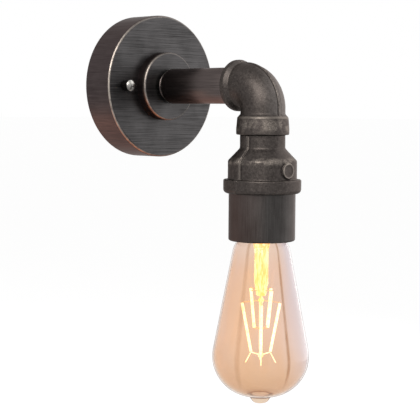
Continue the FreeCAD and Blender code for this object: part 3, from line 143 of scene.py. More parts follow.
def maths(tree, operation, first, second):
    """One maths node; either operand is a socket or a number."""
    node = tree.nodes.new("ShaderNodeMath")
    node.operation = operation
    for socket, operand in zip(node.inputs, (first, second)):
        if isinstance(operand, (int, float)):
            socket.default_value = operand
        else:
            tree.links.new(operand, socket)
    return node.outputs[0]


def mixed(tree, share, first, second, blend="MIX"):
    """Colour between first and second; each is a socket or a colour."""
    node = tree.nodes.new("ShaderNodeMix")
    node.data_type = "RGBA"
    node.blend_type = blend
    sockets = {"Factor": share, "A": first, "B": second}
    for socket in node.inputs:
        wanted = socket.name in sockets and (socket.type == "RGBA" or
                                             socket.identifier == "Factor_Float")
        if not wanted:
            continue
        operand = sockets[socket.name]
        if isinstance(operand, bpy.types.NodeSocket):
            tree.links.new(operand, socket)
        elif socket.type == "RGBA":
            socket.default_value = (*operand[:3], 1)
        else:
            socket.default_value = operand
    return next(s for s in node.outputs if s.type == "RGBA")


def mixed_shader(tree, share, first, second):
    """Shader between first and second."""
    node = tree.nodes.new("ShaderNodeMixShader")
    if isinstance(share, (int, float)):
        node.inputs[0].default_value = share
    else:
        tree.links.new(share, node.inputs[0])
    tree.links.new(first, node.inputs[1])
    tree.links.new(second, node.inputs[2])
    return node.outputs[0]


def outer_edges(tree, reach):
    """1 on sharp outward edges, falling to 0 over reach millimetres."""
    node = tree.nodes.new("ShaderNodeAmbientOcclusion")
    node.samples = 8
    node.inside = True
    node.only_local = True
    node.inputs["Distance"].default_value = reach * MM
    return maths(tree, "SUBTRACT", 1.0, node.outputs["AO"])


def bumped(tree, height, strength, distance, under=None):
    """Normal from a height; distance is in millimetres."""
    node = tree.nodes.new("ShaderNodeBump")
    node.inputs["Strength"].default_value = strength
    node.inputs["Distance"].default_value = distance * MM
    tree.links.new(height, node.inputs["Height"])
    if under is not None:
        tree.links.new(under, node.inputs["Normal"])
    return node.outputs["Normal"]


def normal_part(tree, direction):
    """How far the surface faces a fixed direction of the object, from -1 to 1."""
    coords = tree.nodes.new("ShaderNodeTexCoord")
    node = tree.nodes.new("ShaderNodeVectorMath")
    node.operation = "DOT_PRODUCT"
    node.inputs[1].default_value = Vector(direction).normalized()
    tree.links.new(coords.outputs["Normal"], node.inputs[0])
    return node.outputs["Value"]


def coordinate(tree, axis):
    """One object coordinate, in metres."""
    coords = tree.nodes.new("ShaderNodeTexCoord")
    split = tree.nodes.new("ShaderNodeSeparateXYZ")
    tree.links.new(coords.outputs["Object"], split.inputs[0])
    return split.outputs[axis]


def off_axis(tree, centre, along):
    """Distance in millimetres from a line through centre, parallel to one axis."""
    coords = tree.nodes.new("ShaderNodeTexCoord")
    away = tree.nodes.new("ShaderNodeVectorMath")
    away.operation = "SUBTRACT"
    away.inputs[1].default_value = centre
    flat = tree.nodes.new("ShaderNodeVectorMath")
    flat.operation = "MULTIPLY"
    flat.inputs[1].default_value = [0 if axis == along else 1 / MM for axis in range(3)]
    length = tree.nodes.new("ShaderNodeVectorMath")
    length.operation = "LENGTH"
    tree.links.new(coords.outputs["Object"], away.inputs[0])
    tree.links.new(away.outputs[0], flat.inputs[0])
    tree.links.new(flat.outputs[0], length.inputs[0])
    return length.outputs["Value"]


def apart(tree, axis, place):
    """Distance in millimetres from the plane where one coordinate is place."""
    gap = maths(tree, "SUBTRACT", coordinate(tree, axis), place)
    return maths(tree, "ABSOLUTE", maths(tree, "DIVIDE", gap, MM), 0)


def turn_round(tree, centre, axis):
    """Right-handed turn about the line through centre along one axis, in radians."""
    first, second = (axis + 1) % 3, (axis + 2) % 3
    along_first = maths(tree, "SUBTRACT", coordinate(tree, first), centre[first])
    along_second = maths(tree, "SUBTRACT", coordinate(tree, second), centre[second])
    return maths(tree, "ARCTAN2", along_second, along_first)


def band(tree, value, centre, half):
    """1 where value is near centre, falling to 0 at half away from it."""
    away = maths(tree, "ABSOLUTE", maths(tree, "SUBTRACT", value, centre), 0)
    return ranged(tree, away, half * 0.35, half, 1.0, 0.0)


def both(tree, *shares):
    """Product of several shares."""
    result = shares[0]
    for share in shares[1:]:
        result = maths(tree, "MULTIPLY", result, share)
    return result


# ---- finishes ------------------------------------------------------------------------

METAL_RIM = (0.62, 0.59, 0.58, 1)       # tint of metal seen at a glancing angle
# brighter metal on edges and moulded lines: partly wear, partly a painted highlight
WORN_METAL_AND_HIGHLIGHT = (0.4, 0.35, 0.31)
# copper tint with a painted warm reflection, on surfaces facing down
COPPER_AND_WARM_REFLECTION = (0.3, 0.1, 0.055)
# warm painted highlight with a copper tint, on edges facing down
COPPER_EDGE_AND_WARM_HIGHLIGHT = (0.6, 0.2, 0.09)
COPPER_AND_WARM_SIDE = (-0.35, 0.0, -0.9)         # side of the plate and hub where a copper tint and a painted warm reflection show, facing down
LIT_EDGE_SIDE = (-1.0, 0.0, -0.2)           # side where the painted highlight on their front edges is strongest
FACE_DARK = (0.02, 0.0195, 0.0195)
FACE_LIGHT = (0.074, 0.071, 0.072)
SIDE_DARK = (0.04, 0.031, 0.031)
SIDE_LIGHT = (0.07, 0.056, 0.056)
EDGE_FREE_RADIUS = 20.0                 # no painted edge highlight nearer to the arm's axis than this, in mm


def edge_wear_and_highlight(tree, base, vector, reach, low, high, share):
    """Base colour with brighter metal on outward edges, in patches: partly scuffed metal, partly a
    painted highlight.
    """
    edge = ranged(tree, outer_edges(tree, reach), low, high)
    patch = ranged(tree, noise_value(tree, vector, 0.35, 4.0, 0.6), 0.34, 0.6, 0.25, 1.0)
    wear_and_highlight = maths(tree, "MULTIPLY", maths(tree, "MULTIPLY", edge, patch), share)
    return mixed(tree, wear_and_highlight, base, WORN_METAL_AND_HIGHLIGHT)


def streaked_base(tree, dark, light, stretch, cloud_share=0.25):
    """Brushed lines across the stretched axis with soft clouding; colour and lines."""
    lines = noise_value(tree, place_vector(tree, stretch), 1.0, 6.0, 0.72)
    clouds = noise_value(tree, place_vector(tree), 0.045, 3.0)
    tone = maths(tree, "ADD", maths(tree, "MULTIPLY", lines, 1 - cloud_share),
                 maths(tree, "MULTIPLY", clouds, cloud_share))
    return mixed(tree, ranged(tree, tone, 0.38, 0.62), dark, light), lines


def finish_metal(tree, shader, colour, lines, rough, bump_depth):
    """Connects a brushed metal's colour, roughness and bump."""
    tree.links.new(colour, shader.inputs["Base Color"])
    tree.links.new(ranged(tree, lines, 0.3, 0.7, rough - 0.06, rough + 0.07),
                   shader.inputs["Roughness"])
    tree.links.new(bumped(tree, lines, 0.5, bump_depth), shader.inputs["Normal"])
    set_inputs(shader, Metallic=1.0, Specular_Tint=METAL_RIM)


def plate_finish(name, edge_start, edge_share, face_place, edge_depth):
    """Dark bronzed plate, brushed in horizontal lines, with a bright front edge that is partly
    scuffed metal and partly a painted highlight.

    The edge carries the painted highlight where it faces forwards by edge_start or more, and for
    edge_depth millimetres behind the face at face_place; it is strongest on the side facing -X. A
    copper tint with a painted warm reflection shows where the plate faces down.
    """
    made, tree, shader = new_material(name)
    vector = place_vector(tree)
    face, lines = streaked_base(tree, FACE_DARK, FACE_LIGHT, (0.03, 0.03, 2.4))
    side, side_lines = streaked_base(tree, SIDE_DARK, SIDE_LIGHT, (0.05, 0.05, 1.8))
    facing = normal_part(tree, (0, -1, 0))
    # copper tint with a painted warm reflection on the sides facing down
    low = ranged(tree, normal_part(tree, COPPER_AND_WARM_SIDE), 0.68, 1.0)
    low_lines = both(tree, low, ranged(tree, side_lines, 0.3, 0.7, 0.04, 0.26))
    side = mixed(tree, low_lines, side, COPPER_AND_WARM_REFLECTION)
    colour = mixed(tree, ranged(tree, facing, 0.5, 0.85), side, face)
    patch = ranged(tree, noise_value(tree, vector, 0.3, 4.0, 0.6), 0.3, 0.6, 0.35, 1.0)
    outline = ranged(tree, off_axis(tree, (0, 0, 0), 1), EDGE_FREE_RADIUS, EDGE_FREE_RADIUS + 1)
    # painted highlight: the edge is brighter on the side facing -X, where the light falls
    left = ranged(tree, normal_part(tree, LIT_EDGE_SIDE), 0.0, 0.5, 0.3, 1.0)
    not_face = ranged(tree, facing, 0.93, 0.985, 1.0, 0.0)
    turned = both(tree, ranged(tree, facing, edge_start, edge_start + 0.2), not_face)
    from_face = apart(tree, 1, face_place)
    near = both(tree, ranged(tree, from_face, edge_depth * 0.5, edge_depth, 1.0, 0.0), not_face)
    # the front edge's painted highlight, with some wear, in patches
    edge = both(tree, maths(tree, "MAXIMUM", turned, near), patch, outline, left)
    # warm painted highlight with a copper tint where the edge faces down
    lower = ranged(tree, normal_part(tree, COPPER_AND_WARM_SIDE), 0.4, 0.8)
    painted_highlight = mixed(tree, lower, WORN_METAL_AND_HIGHLIGHT, COPPER_EDGE_AND_WARM_HIGHLIGHT)
    colour = mixed(tree, maths(tree, "MULTIPLY", edge, edge_share), colour, painted_highlight)
    finish_metal(tree, shader, colour, lines, 0.38, 0.03)
    return made


PIPE_THREAD_RADIUS = 10.5               # in mm
PIPE_DARK = (0.054, 0.044, 0.042)
PIPE_LIGHT = (0.1, 0.082, 0.079)
# painted highlight on the pipe's shoulder
PIPE_SHOULDER_HIGHLIGHT = (0.5, 0.46, 0.42)


def pipe_finish():
    """Dark bronzed pipe, drawn along its length, with a copper tint and painted warm reflection
    below and a painted highlight at its shoulder.
    """
    made, tree, shader = new_material("bronzed_pipe")
    colour, lines = streaked_base(tree, PIPE_DARK, PIPE_LIGHT, (2.0, 0.04, 2.0))
    # copper tint with a painted warm reflection on the underside
    low = ranged(tree, normal_part(tree, (-0.1, 0.0, -1.0)), 0.55, 1.0)
    colour = mixed(tree, maths(tree, "MULTIPLY", low, 0.27), colour, COPPER_AND_WARM_REFLECTION)
    from_axis = off_axis(tree, (0, 0, 0), 1)
    # painted highlight on the shoulder's chamfer
    rim = both(tree, band(tree, apart(tree, 1, PIPE_SHOULDER), 0.9, 0.65),
               ranged(tree, from_axis, PIPE_THREAD_RADIUS + 0.6, PIPE_THREAD_RADIUS + 1.0))
    grain = ranged(tree, noise_value(tree, place_vector(tree), 0.5, 4.0), 0.3, 0.6, 0.5, 1.0)
    rim = both(tree, rim, grain, ranged(tree, lines, 0.0, 1.0, 0.85, 0.95))
    colour = mixed(tree, rim, colour, PIPE_SHOULDER_HIGHLIGHT)
    finish_metal(tree, shader, colour, lines, 0.34, 0.015)
    return made


SLEEVE_DARK = (0.034, 0.031, 0.03)
SLEEVE_LIGHT = (0.062, 0.058, 0.056)
SLEEVE_COPPER_AND_WARM_REFLECTION = (0.1, 0.05, 0.04)         # copper tint with a painted warm reflection on its -X side
SLEEVE_FLECK = (0.16, 0.14, 0.13)


def sleeve_finish():
    """Dark satin sleeve with faint upright lines, a little grain and a painted warm reflection on
    its -X side.
    """
    made, tree, shader = new_material("satin_sleeve")
    colour, lines = streaked_base(tree, SLEEVE_DARK, SLEEVE_LIGHT, (1.6, 1.6, 0.05), 0.45)
    # painted warm reflection on the side facing -X
    left = ranged(tree, normal_part(tree, (-1.0, 0.25, 0.0)), 0.4, 1.0)
    colour = mixed(tree, maths(tree, "MULTIPLY", left, 0.25), colour, SLEEVE_COPPER_AND_WARM_REFLECTION)
    grain = noise_value(tree, place_vector(tree), 1.4, 4.0, 0.65)
    colour = mixed(tree, ranged(tree, grain, 0.6, 0.75, 0.0, 0.3), colour, SLEEVE_FLECK)
    finish_metal(tree, shader, colour, lines, 0.4, 0.02)
    return made


CAST_DARK = (0.034, 0.029, 0.027)
CAST_LIGHT = (0.066, 0.057, 0.053)
# painted glints and painted highlights on the casting
CAST_HIGHLIGHT = (0.27, 0.235, 0.205)
CAST_CREASE_SHADE = (0.012, 0.01, 0.01)       # painted shade in the corners beside moulded lines
CAST_BEND_HIGHLIGHT = (0.125, 0.113, 0.107)    # painted highlight on the outer bend of the elbow
BEND_HIGHLIGHT_SIDE = (0.35, -0.93, 0.15)
RIB_HALF = 1.9                          # half width of the reducer's moulded rib, in mm
PARTING_HALF = 0.9                      # half width of the elbow's parting line
BOSS_RADIUS = 5.1
BOSS_DROP = 55.5 * MM                   # arm's axis down to the middle of the boss
CONE_FOOT = 49.5 * MM
RIB_TOP = 33.5 * MM
RIB_FOOT = 61.5 * MM
BEND_TUBE = 15.6                        # radius just outside the elbow's tube, in mm
ELBOW_BEAD_TOP = 21.1 * MM
ELBOW_BEAD_MIDDLE = 26.5 * MM


def moulding_lines(tree):
    """Painted highlights and painted shade along the mould ribs, the parting line and the boss."""
    side = ranged(tree, maths(tree, "ABSOLUTE", normal_part(tree, (1, 0, 0)), 0), 0.55, 0.8)
    height = coordinate(tree, 2)
    below = both(tree, ranged(tree, height, -RIB_TOP - MM, -RIB_TOP, 1.0, 0.0),
                 ranged(tree, height, -RIB_FOOT, -RIB_FOOT + MM))
    from_rib = apart(tree, 1, DROP_AXIS[1])
    rib = both(tree, side, below)
    from_parting = apart(tree, 0, 0)
    out = ranged(tree, normal_part(tree, (0, -1, 0.4)), 0.2, 0.6)
    above = ranged(tree, height, -ELBOW_BEAD_TOP, -ELBOW_BEAD_TOP + MM)
    parting = both(tree, out, above)
    boss_middle = (0, DROP_AXIS[1], -BOSS_DROP)
    from_boss = off_axis(tree, boss_middle, 1)
    front = ranged(tree, normal_part(tree, (0, -1, 0)), 0.2, 0.5)
    # painted highlights on the edges of the ribs, the parting line and the boss ring
    bright = maths(tree, "MAXIMUM", both(tree, rib, band(tree, from_rib, RIB_HALF - 0.3, 0.5)),
                   both(tree, parting, band(tree, from_parting, PARTING_HALF - 0.2, 0.45), 0.5))
    bright = maths(tree, "MAXIMUM", bright,
                   both(tree, front, band(tree, from_boss, BOSS_RADIUS - 0.5, 0.6), 0.6))
    # painted shade beside them
    dark = maths(tree, "MAXIMUM", both(tree, rib, band(tree, from_rib, RIB_HALF + 0.6, 0.6)),
                 both(tree, parting, band(tree, from_parting, PARTING_HALF + 0.6, 0.6)))
    dark = maths(tree, "MAXIMUM", dark,
                 both(tree, front, band(tree, from_boss, BOSS_RADIUS + 0.6, 0.7)))
    return bright, dark


def cast_finish():
    """Dark cast surface, finely mottled, with brighter scuffed edges, painted highlights on edges,
    beads and the outer bend, painted glints, and painted shade beside the moulded lines.
    """
    made, tree, shader = new_material("dark_casting")
    vector = place_vector(tree)
    mottle = noise_value(tree, vector, 0.55, 5.0, 0.62)
    grain = noise_value(tree, vector, 1.5, 5.0, 0.7)
    base = mixed(tree, ranged(tree, mottle, 0.3, 0.7), CAST_DARK, CAST_LIGHT)
    # painted highlight on the elbow's outer bend, on the side facing the light
    bend = both(tree, ranged(tree, normal_part(tree, BEND_HIGHLIGHT_SIDE), 0.4, 0.9),
                ranged(tree, coordinate(tree, 2), -ELBOW_BEAD_TOP, -ELBOW_BEAD_TOP + 3 * MM),
                ranged(tree, mottle, 0.25, 0.55, 0.35, 0.75))
    base = mixed(tree, bend, base, CAST_BEND_HIGHLIGHT)
    bright, dark = moulding_lines(tree)
    # painted shade beside the moulded lines
    base = mixed(tree, maths(tree, "MULTIPLY", dark, 0.7), base, CAST_CREASE_SHADE)
    # painted highlights on the cone's foot, the drop bead and the arm bead's edge
    cone_edge = band(tree, apart(tree, 2, -CONE_FOOT), 0.4, 2.6)
    bead = band(tree, apart(tree, 2, -ELBOW_BEAD_MIDDLE), 0.0, 6.0)
    painted_highlight = maths(tree, "MAXIMUM", cone_edge, both(tree, bead, 0.85))
    patches = ranged(tree, noise_value(tree, vector, 0.16, 4.0, 0.6), 0.44, 0.6)
    speck = ranged(tree, grain, 0.44, 0.62, 0.22, 1.0)
    painted_highlight = both(tree, painted_highlight, patches, speck, 0.8)
    outside = ranged(tree, off_axis(tree, DROP_AXIS, 2), BEND_TUBE, BEND_TUBE + 0.6)
    bead_line = both(tree, band(tree, apart(tree, 2, -ELBOW_BEAD_TOP), 0.3, 0.7), outside, 0.32)
    painted_highlight = maths(tree, "MAXIMUM", painted_highlight, bead_line)
    # painted glints in the grain
    painted_glints = maths(tree, "MULTIPLY", ranged(tree, grain, 0.56, 0.7), 0.28)
    base = mixed(tree, maths(tree, "MAXIMUM", painted_glints, painted_highlight), base, CAST_HIGHLIGHT)
    # outward edges brightened: partly wear, partly a painted highlight
    base = edge_wear_and_highlight(tree, base, vector, 1.5, 0.24, 0.52, 0.8)
    # painted highlights along the moulded lines
    bright = both(tree, bright, ranged(tree, mottle, 0.3, 0.6, 0.12, 0.36))
    base = mixed(tree, bright, base, WORN_METAL_AND_HIGHLIGHT)
    tree.links.new(base, shader.inputs["Base Color"])
    tree.links.new(ranged(tree, mottle, 0.3, 0.7, 0.4, 0.55), shader.inputs["Roughness"])
    coarse = bumped(tree, mottle, 0.4, 0.14)
    tree.links.new(bumped(tree, grain, 0.5, 0.07, coarse), shader.inputs["Normal"])
    set_inputs(shader, Metallic=1.0, Specular_Tint=METAL_RIM)
    return made


CAP_NUT_DARK = (0.035, 0.031, 0.029)
# bright metal of the domed end, with its painted highlight
CAP_NUT_WORN_AND_HIGHLIGHT = (0.4, 0.39, 0.37)


def cap_nut_finish():
    """Dark cap nut whose domed end is scuffed to bright metal, with a painted highlight that is
    strongest towards its top.
    """
    made, tree, shader = new_material("cap_nut_metal")
    vector = place_vector(tree)
    grain = noise_value(tree, vector, 1.6, 4.0)
    facing = normal_part(tree, (0, -1, 0))
    # painted highlight, strongest on the upper side of the dome
    upper = ranged(tree, normal_part(tree, (-0.25, -0.6, 0.75)), 0.35, 0.95, 0.3, 1.0)
    bright = both(tree, ranged(tree, facing, 0.3, 0.75), upper,
                  ranged(tree, grain, 0.25, 0.5, 0.75, 1.0))
    colour = mixed(tree, bright, CAP_NUT_DARK, CAP_NUT_WORN_AND_HIGHLIGHT)
    tree.links.new(colour, shader.inputs["Base Color"])
    tree.links.new(ranged(tree, grain, 0.3, 0.7, 0.24, 0.38), shader.inputs["Roughness"])
    tree.links.new(bumped(tree, grain, 0.25, 0.02), shader.inputs["Normal"])
    set_inputs(shader, Metallic=1.0)
    return made


def plain_metal(name, dark, light, rough, scale=0.8):
    """Clean metal with faint clouding and fine grain."""
    made, tree, shader = new_material(name)
    vector = place_vector(tree)
    clouds = noise_value(tree, vector, scale * 0.3, 4.0)
    grain = noise_value(tree, vector, scale * 4, 3.0)
    tree.links.new(mixed(tree, ranged(tree, clouds, 0.35, 0.65), dark, light),
                   shader.inputs["Base Color"])
    tree.links.new(ranged(tree, grain, 0.3, 0.7, rough - 0.06, rough + 0.08),
                   shader.inputs["Roughness"])
    tree.links.new(bumped(tree, grain, 0.2, 0.015), shader.inputs["Normal"])
    set_inputs(shader, Metallic=1.0)
    return made


def moulded(name, dark, light, rough, coat=0.0):
    """Moulded or glazed surface with slight clouding."""
    made, tree, shader = new_material(name)
    vector = place_vector(tree)
    clouds = noise_value(tree, vector, 0.25, 4.0)
    grain = noise_value(tree, vector, 3.0, 3.0)
    tree.links.new(mixed(tree, ranged(tree, clouds, 0.35, 0.65), dark, light),
                   shader.inputs["Base Color"])
    tree.links.new(ranged(tree, grain, 0.3, 0.7, rough - 0.05, rough + 0.08),
                   shader.inputs["Roughness"])
    tree.links.new(bumped(tree, grain, 0.15, 0.02), shader.inputs["Normal"])
    set_inputs(shader, Coat_Weight=coat)
    return made


def earth_finish():
    """Earth insulation with a green ground and yellow stripes round it."""
    made, tree, shader = new_material("earth_insulation_stripes")
    vector = place_vector(tree)
    wave = tree.nodes.new("ShaderNodeTexWave")
    wave.bands_direction = "DIAGONAL"
    wave.inputs["Scale"].default_value = 0.09
    wave.inputs["Distortion"].default_value = 0.6
    tree.links.new(vector, wave.inputs["Vector"])
    stripe = ranged(tree, wave.outputs["Fac"], 0.62, 0.68)
    tree.links.new(mixed(tree, stripe, (0.05, 0.24, 0.06), (0.75, 0.62, 0.06)),
                   shader.inputs["Base Color"])
    grain = noise_value(tree, vector, 2.5, 3.0)
    tree.links.new(ranged(tree, grain, 0.3, 0.7, 0.38, 0.5), shader.inputs["Roughness"])
    tree.links.new(bumped(tree, grain, 0.15, 0.02), shader.inputs["Normal"])
    return made


GLASS_NECK = (0.915, 0.805, 0.725)
GLASS_CLEAR = (0.935, 0.735, 0.585)
GLASS_EDGE_TINT_AND_REFLECTION = (0.8, 0.7, 0.66)            # glass seen along its wall, greyer and darker at the edges as a painted reflection
GLASS_DEEP = (0.81, 0.625, 0.465)
GLASS_DARK_LINE = (0.5, 0.31, 0.18)
GLASS_PINK = (0.9, 0.76, 0.69)
GLASS_SIDE = (0.95, 0.94, 0.955)        # how much the tint deepens towards the sides
# dark edge of the bulb, a painted reflection
GLASS_EDGE_REFLECTION = (0.55, 0.47, 0.45)
GLASS_COOL_REFLECTION = (0.845, 0.8, 0.82)
COOL_REFLECTION_TURN = -0.77                      # side of the bulb with a painted paler, cooler reflection
COOL_REFLECTION_HALF = 1.15
NUB_LENGTH = 4.8                        # drawn tip below the bulb's bottom, in mm
# turn and half width of the faint dark lines painted in as reflections, in radians, and their
# strength
REFLECTION_LINES = ((-2.885, 0.08, 0.55), (-1.77, 0.05, 1.2))


def amber_glass():
    """Thin amber glass, deeper towards the tip, with painted reflections: faint dark lines and a
    paler, cooler side.
    """
    made, tree, shader = new_material("amber_envelope")
    low, high = low_high("bulb_glass", 2)
    height = coordinate(tree, 2)
    cloud = noise_value(tree, place_vector(tree), 0.05, 2.0)
    uneven = ranged(tree, cloud, 0.3, 0.7, -0.1, 0.1)
    deep = maths(tree, "ADD", ranged(tree, height, low + 45 * MM, low + 6 * MM), uneven)
    neck = maths(tree, "ADD", ranged(tree, height, high - 34 * MM, high - 12 * MM), uneven)
    streak = noise_value(tree, place_vector(tree, (0.045, 0.045, 0.004)), 1.0, 2.0)
    tint = mixed(tree, ranged(tree, streak, 0.46, 0.64), GLASS_CLEAR, GLASS_PINK)
    tint = mixed(tree, deep, tint, GLASS_DEEP)
    tint = mixed(tree, neck, tint, GLASS_NECK)
    turn = turn_round(tree, DROP_AXIS, 2)
    # painted pale, cool reflection on one side of the bulb
    cool = both(tree, band(tree, turn, COOL_REFLECTION_TURN, COOL_REFLECTION_HALF),
                ranged(tree, height, low + 8 * MM, low + 34 * MM),
                ranged(tree, streak, 0.3, 0.6, 0.75, 1.0))
    tint = mixed(tree, cool, tint, GLASS_COOL_REFLECTION)
    body = ranged(tree, height, low + 12 * MM, low + 26 * MM)
    # painted reflections: faint dark lines down the body
    for place, half, strength in REFLECTION_LINES:
        line = both(tree, band(tree, turn, place, half), body,
                    ranged(tree, cloud, 0.35, 0.65, 0.5 * strength, 0.8 * strength))
        tint = mixed(tree, line, tint, GLASS_DARK_LINE)
    weight = tree.nodes.new("ShaderNodeLayerWeight")
    weight.inputs["Blend"].default_value = 0.5
    side = ranged(tree, weight.outputs["Facing"], 0.12, 0.45)
    tint = mixed(tree, side, tint, mixed(tree, 1.0, tint, GLASS_SIDE, "MULTIPLY"))
    # edges tinted greyer as a painted reflection
    tint = mixed(tree, ranged(tree, weight.outputs["Facing"], 0.6, 0.95), tint, GLASS_EDGE_TINT_AND_REFLECTION)
    root = band(tree, apart(tree, 2, low), NUB_LENGTH, 1.6)
    tint = mixed(tree, maths(tree, "MULTIPLY", root, 0.5), tint, GLASS_DARK_LINE)
    tree.links.new(tint, shader.inputs["Base Color"])
    wave = noise_value(tree, place_vector(tree), 0.06, 2.0)
    tree.links.new(bumped(tree, wave, 0.12, 0.4), shader.inputs["Normal"])
    tree.links.new(ranged(tree, cloud, 0.3, 0.7, 0.0, 0.04), shader.inputs["Roughness"])
    set_inputs(shader, Transmission_Weight=1.0, IOR=1.22)
    # painted dark reflection along the outline
    outline = tree.nodes.new("ShaderNodeBsdfTransparent")
    outline.inputs["Color"].default_value = (*GLASS_EDGE_REFLECTION, 1)
    edge = ranged(tree, weight.outputs["Facing"], 0.82, 0.95, 0.0, 0.9)
    wall = mixed_shader(tree, edge, shader.outputs[0], outline.outputs[0])
    clear = tree.nodes.new("ShaderNodeBsdfTransparent")
    tree.links.new(tint, clear.inputs["Color"])
    path = tree.nodes.new("ShaderNodeLightPath")
    either = tree.nodes.new("ShaderNodeMixShader")
    tree.links.new(path.outputs["Is Shadow Ray"], either.inputs[0])
    tree.links.new(wall, either.inputs[1])
    tree.links.new(clear.outputs[0], either.inputs[2])
    tree.links.new(either.outputs[0], tree.nodes["Material Output"].inputs["Surface"])
    return made


def stem_glass():
    """Glass stem that glows in uneven yellow streaks from the sticks round it."""
    made, tree, shader = new_material("glowing_stem")
    streak = noise_value(tree, place_vector(tree, (0.9, 0.9, 0.12)), 1.0, 5.0, 0.65)
    share = ranged(tree, streak, 0.42, 0.58)
    tree.links.new(mixed(tree, share, (1.0, 0.72, 0.34), (1.0, 0.93, 0.68)),
                   shader.inputs["Base Color"])
    tree.links.new(mixed(tree, share, (0.72, 0.34, 0.07), (1.0, 0.9, 0.6)),
                   shader.inputs["Emission Color"])
    tree.links.new(ranged(tree, streak, 0.3, 0.7, 0.05, 0.14), shader.inputs["Roughness"])
    tree.links.new(bumped(tree, streak, 0.4, 0.4), shader.inputs["Normal"])
    set_inputs(shader, Transmission_Weight=0.6, IOR=1.4, Emission_Strength=0.7)
    return made


def glowing(name, dull, bright, strength, scale):
    """Piece of the lit lamp that glows unevenly between two colours."""
    made, tree, shader = new_material(name)
    grain = noise_value(tree, place_vector(tree), scale, 3.0)
    colour = mixed(tree, ranged(tree, grain, 0.35, 0.65), dull, bright)
    tree.links.new(colour, shader.inputs["Base Color"])
    tree.links.new(colour, shader.inputs["Emission Color"])
    tree.links.new(ranged(tree, grain, 0.3, 0.7, 0.4, 0.6), shader.inputs["Roughness"])
    tree.links.new(bumped(tree, grain, 0.3, 0.1), shader.inputs["Normal"])
    set_inputs(shader, Emission_Strength=strength)
    return made


def cage_wire():
    """Support wire that glows at the foot of the cages and is dull higher up."""
    made, tree, shader = new_material("lit_wire")
    low = low_high("cage_wires", 2)[0]
    foot = ranged(tree, coordinate(tree, 2), low + 9 * MM, low + 14 * MM, 1.0, 0.0)
    grain = noise_value(tree, place_vector(tree), 0.8, 3.0)
    glow = mixed(tree, ranged(tree, grain, 0.35, 0.65), (1.0, 0.76, 0.38), (1.0, 0.92, 0.66))
    colour = mixed(tree, foot, (0.62, 0.48, 0.32), glow)
    tree.links.new(colour, shader.inputs["Base Color"])
    tree.links.new(colour, shader.inputs["Emission Color"])
    tree.links.new(ranged(tree, foot, 0.0, 1.0, 0.45, 1.7), shader.inputs["Emission Strength"])
    tree.links.new(ranged(tree, grain, 0.3, 0.7, 0.35, 0.5), shader.inputs["Roughness"])
    tree.links.new(bumped(tree, grain, 0.3, 0.05), shader.inputs["Normal"])
    return made


def board_finish():
    """White circuit board with darker tracks."""
    made, tree, shader = new_material("driver_board")
    vector = place_vector(tree)
    cells = tree.nodes.new("ShaderNodeTexVoronoi")
    cells.distance = "CHEBYCHEV"
    cells.inputs["Scale"].default_value = 0.45
    tree.links.new(vector, cells.inputs["Vector"])
    pad = ranged(tree, cells.outputs["Distance"], 0.42, 0.46)
    tree.links.new(mixed(tree, pad, (0.82, 0.83, 0.79), (0.35, 0.42, 0.34)),
                   shader.inputs["Base Color"])
    grain = noise_value(tree, vector, 2.0, 3.0)
    tree.links.new(ranged(tree, grain, 0.3, 0.7, 0.35, 0.5), shader.inputs["Roughness"])
    tree.links.new(bumped(tree, pad, 0.3, 0.04), shader.inputs["Normal"])
    return made


FINISHES = {
    "brushed_plate": plate_finish("bronzed_plate", 0.4, 0.7, CUP_FACE, 0.9),
    "brushed_pipe": pipe_finish(),
    "sleeve_finish": sleeve_finish(),
    "cast_fitting": cast_finish(),
    "cap_nut_finish": cap_nut_finish(),
    "zinc_steel": plain_metal("zinc_plate", (0.5, 0.5, 0.49), (0.66, 0.66, 0.64), 0.32),
    "brass": plain_metal("plain_brass", (0.6, 0.42, 0.17), (0.76, 0.57, 0.27), 0.3),
    "tinned_brass": plain_metal("tinned_brass_metal", (0.56, 0.54, 0.49), (0.7, 0.68, 0.62), 0.35),
    "solder": plain_metal("solder_metal", (0.5, 0.5, 0.5), (0.64, 0.64, 0.63), 0.4, 1.5),
    "nickel_cap": plain_metal("nickel_plate", (0.6, 0.57, 0.52), (0.74, 0.71, 0.66), 0.24),
    "wire_metal": cage_wire(),
    "block_plastic": moulded("block_nylon", (0.78, 0.77, 0.72), (0.86, 0.85, 0.81), 0.42),
    "porcelain": moulded("glazed_porcelain", (0.84, 0.83, 0.78), (0.91, 0.9, 0.86), 0.3, 0.6),
    "black_glass": moulded("black_vitrite", (0.012, 0.012, 0.014), (0.03, 0.03, 0.032), 0.15,
                           0.5),
    "live_insulation": moulded("live_lead_skin", (0.22, 0.1, 0.05), (0.28, 0.14, 0.07), 0.42),
    "neutral_insulation": moulded("neutral_lead_skin", (0.04, 0.12, 0.38), (0.07, 0.18, 0.48),
                                  0.42),
    "earth_insulation": earth_finish(),
    "amber_glass": amber_glass(),
    "stem_glass": stem_glass(),
    "filament": glowing("glowing_stick", (1.0, 0.78, 0.4), (1.0, 0.9, 0.64), 1.75, 0.5),
    "circuit_board": board_finish(),
}

# Nodes whose finish differs from the rest of their slot.
NODE_FINISHES = {
    "hub_boss": plate_finish("bronzed_hub", 0.05, 0.5, HUB_FACE, 3.2),
}

SLOT_OF_NODE = {part["node"]: part["material_slot"] for part in frame["record"]["subparts"]}

for node_name, node_object in frame["nodes"].items():
    node_object.data.materials.clear()
    finish = NODE_FINISHES.get(node_name, FINISHES[SLOT_OF_NODE[node_name]])
    node_object.data.materials.append(finish)


# ---- cast fittings -----------------------------------------------------------------------

CAST_VOXEL = 0.36 * MM
CAST_SMOOTHING = 1
CAST_WAVES = ((0.14, 0.05), (0.45, 0.035), (1.2, 0.02))   # waves per mm, height in mm
ELBOW_FOOT_DROP = 33.0                  # arm's axis down to the start of the ribs, in mm
RIB_STEP = 0.35
RIB_SLOPE = 0.5


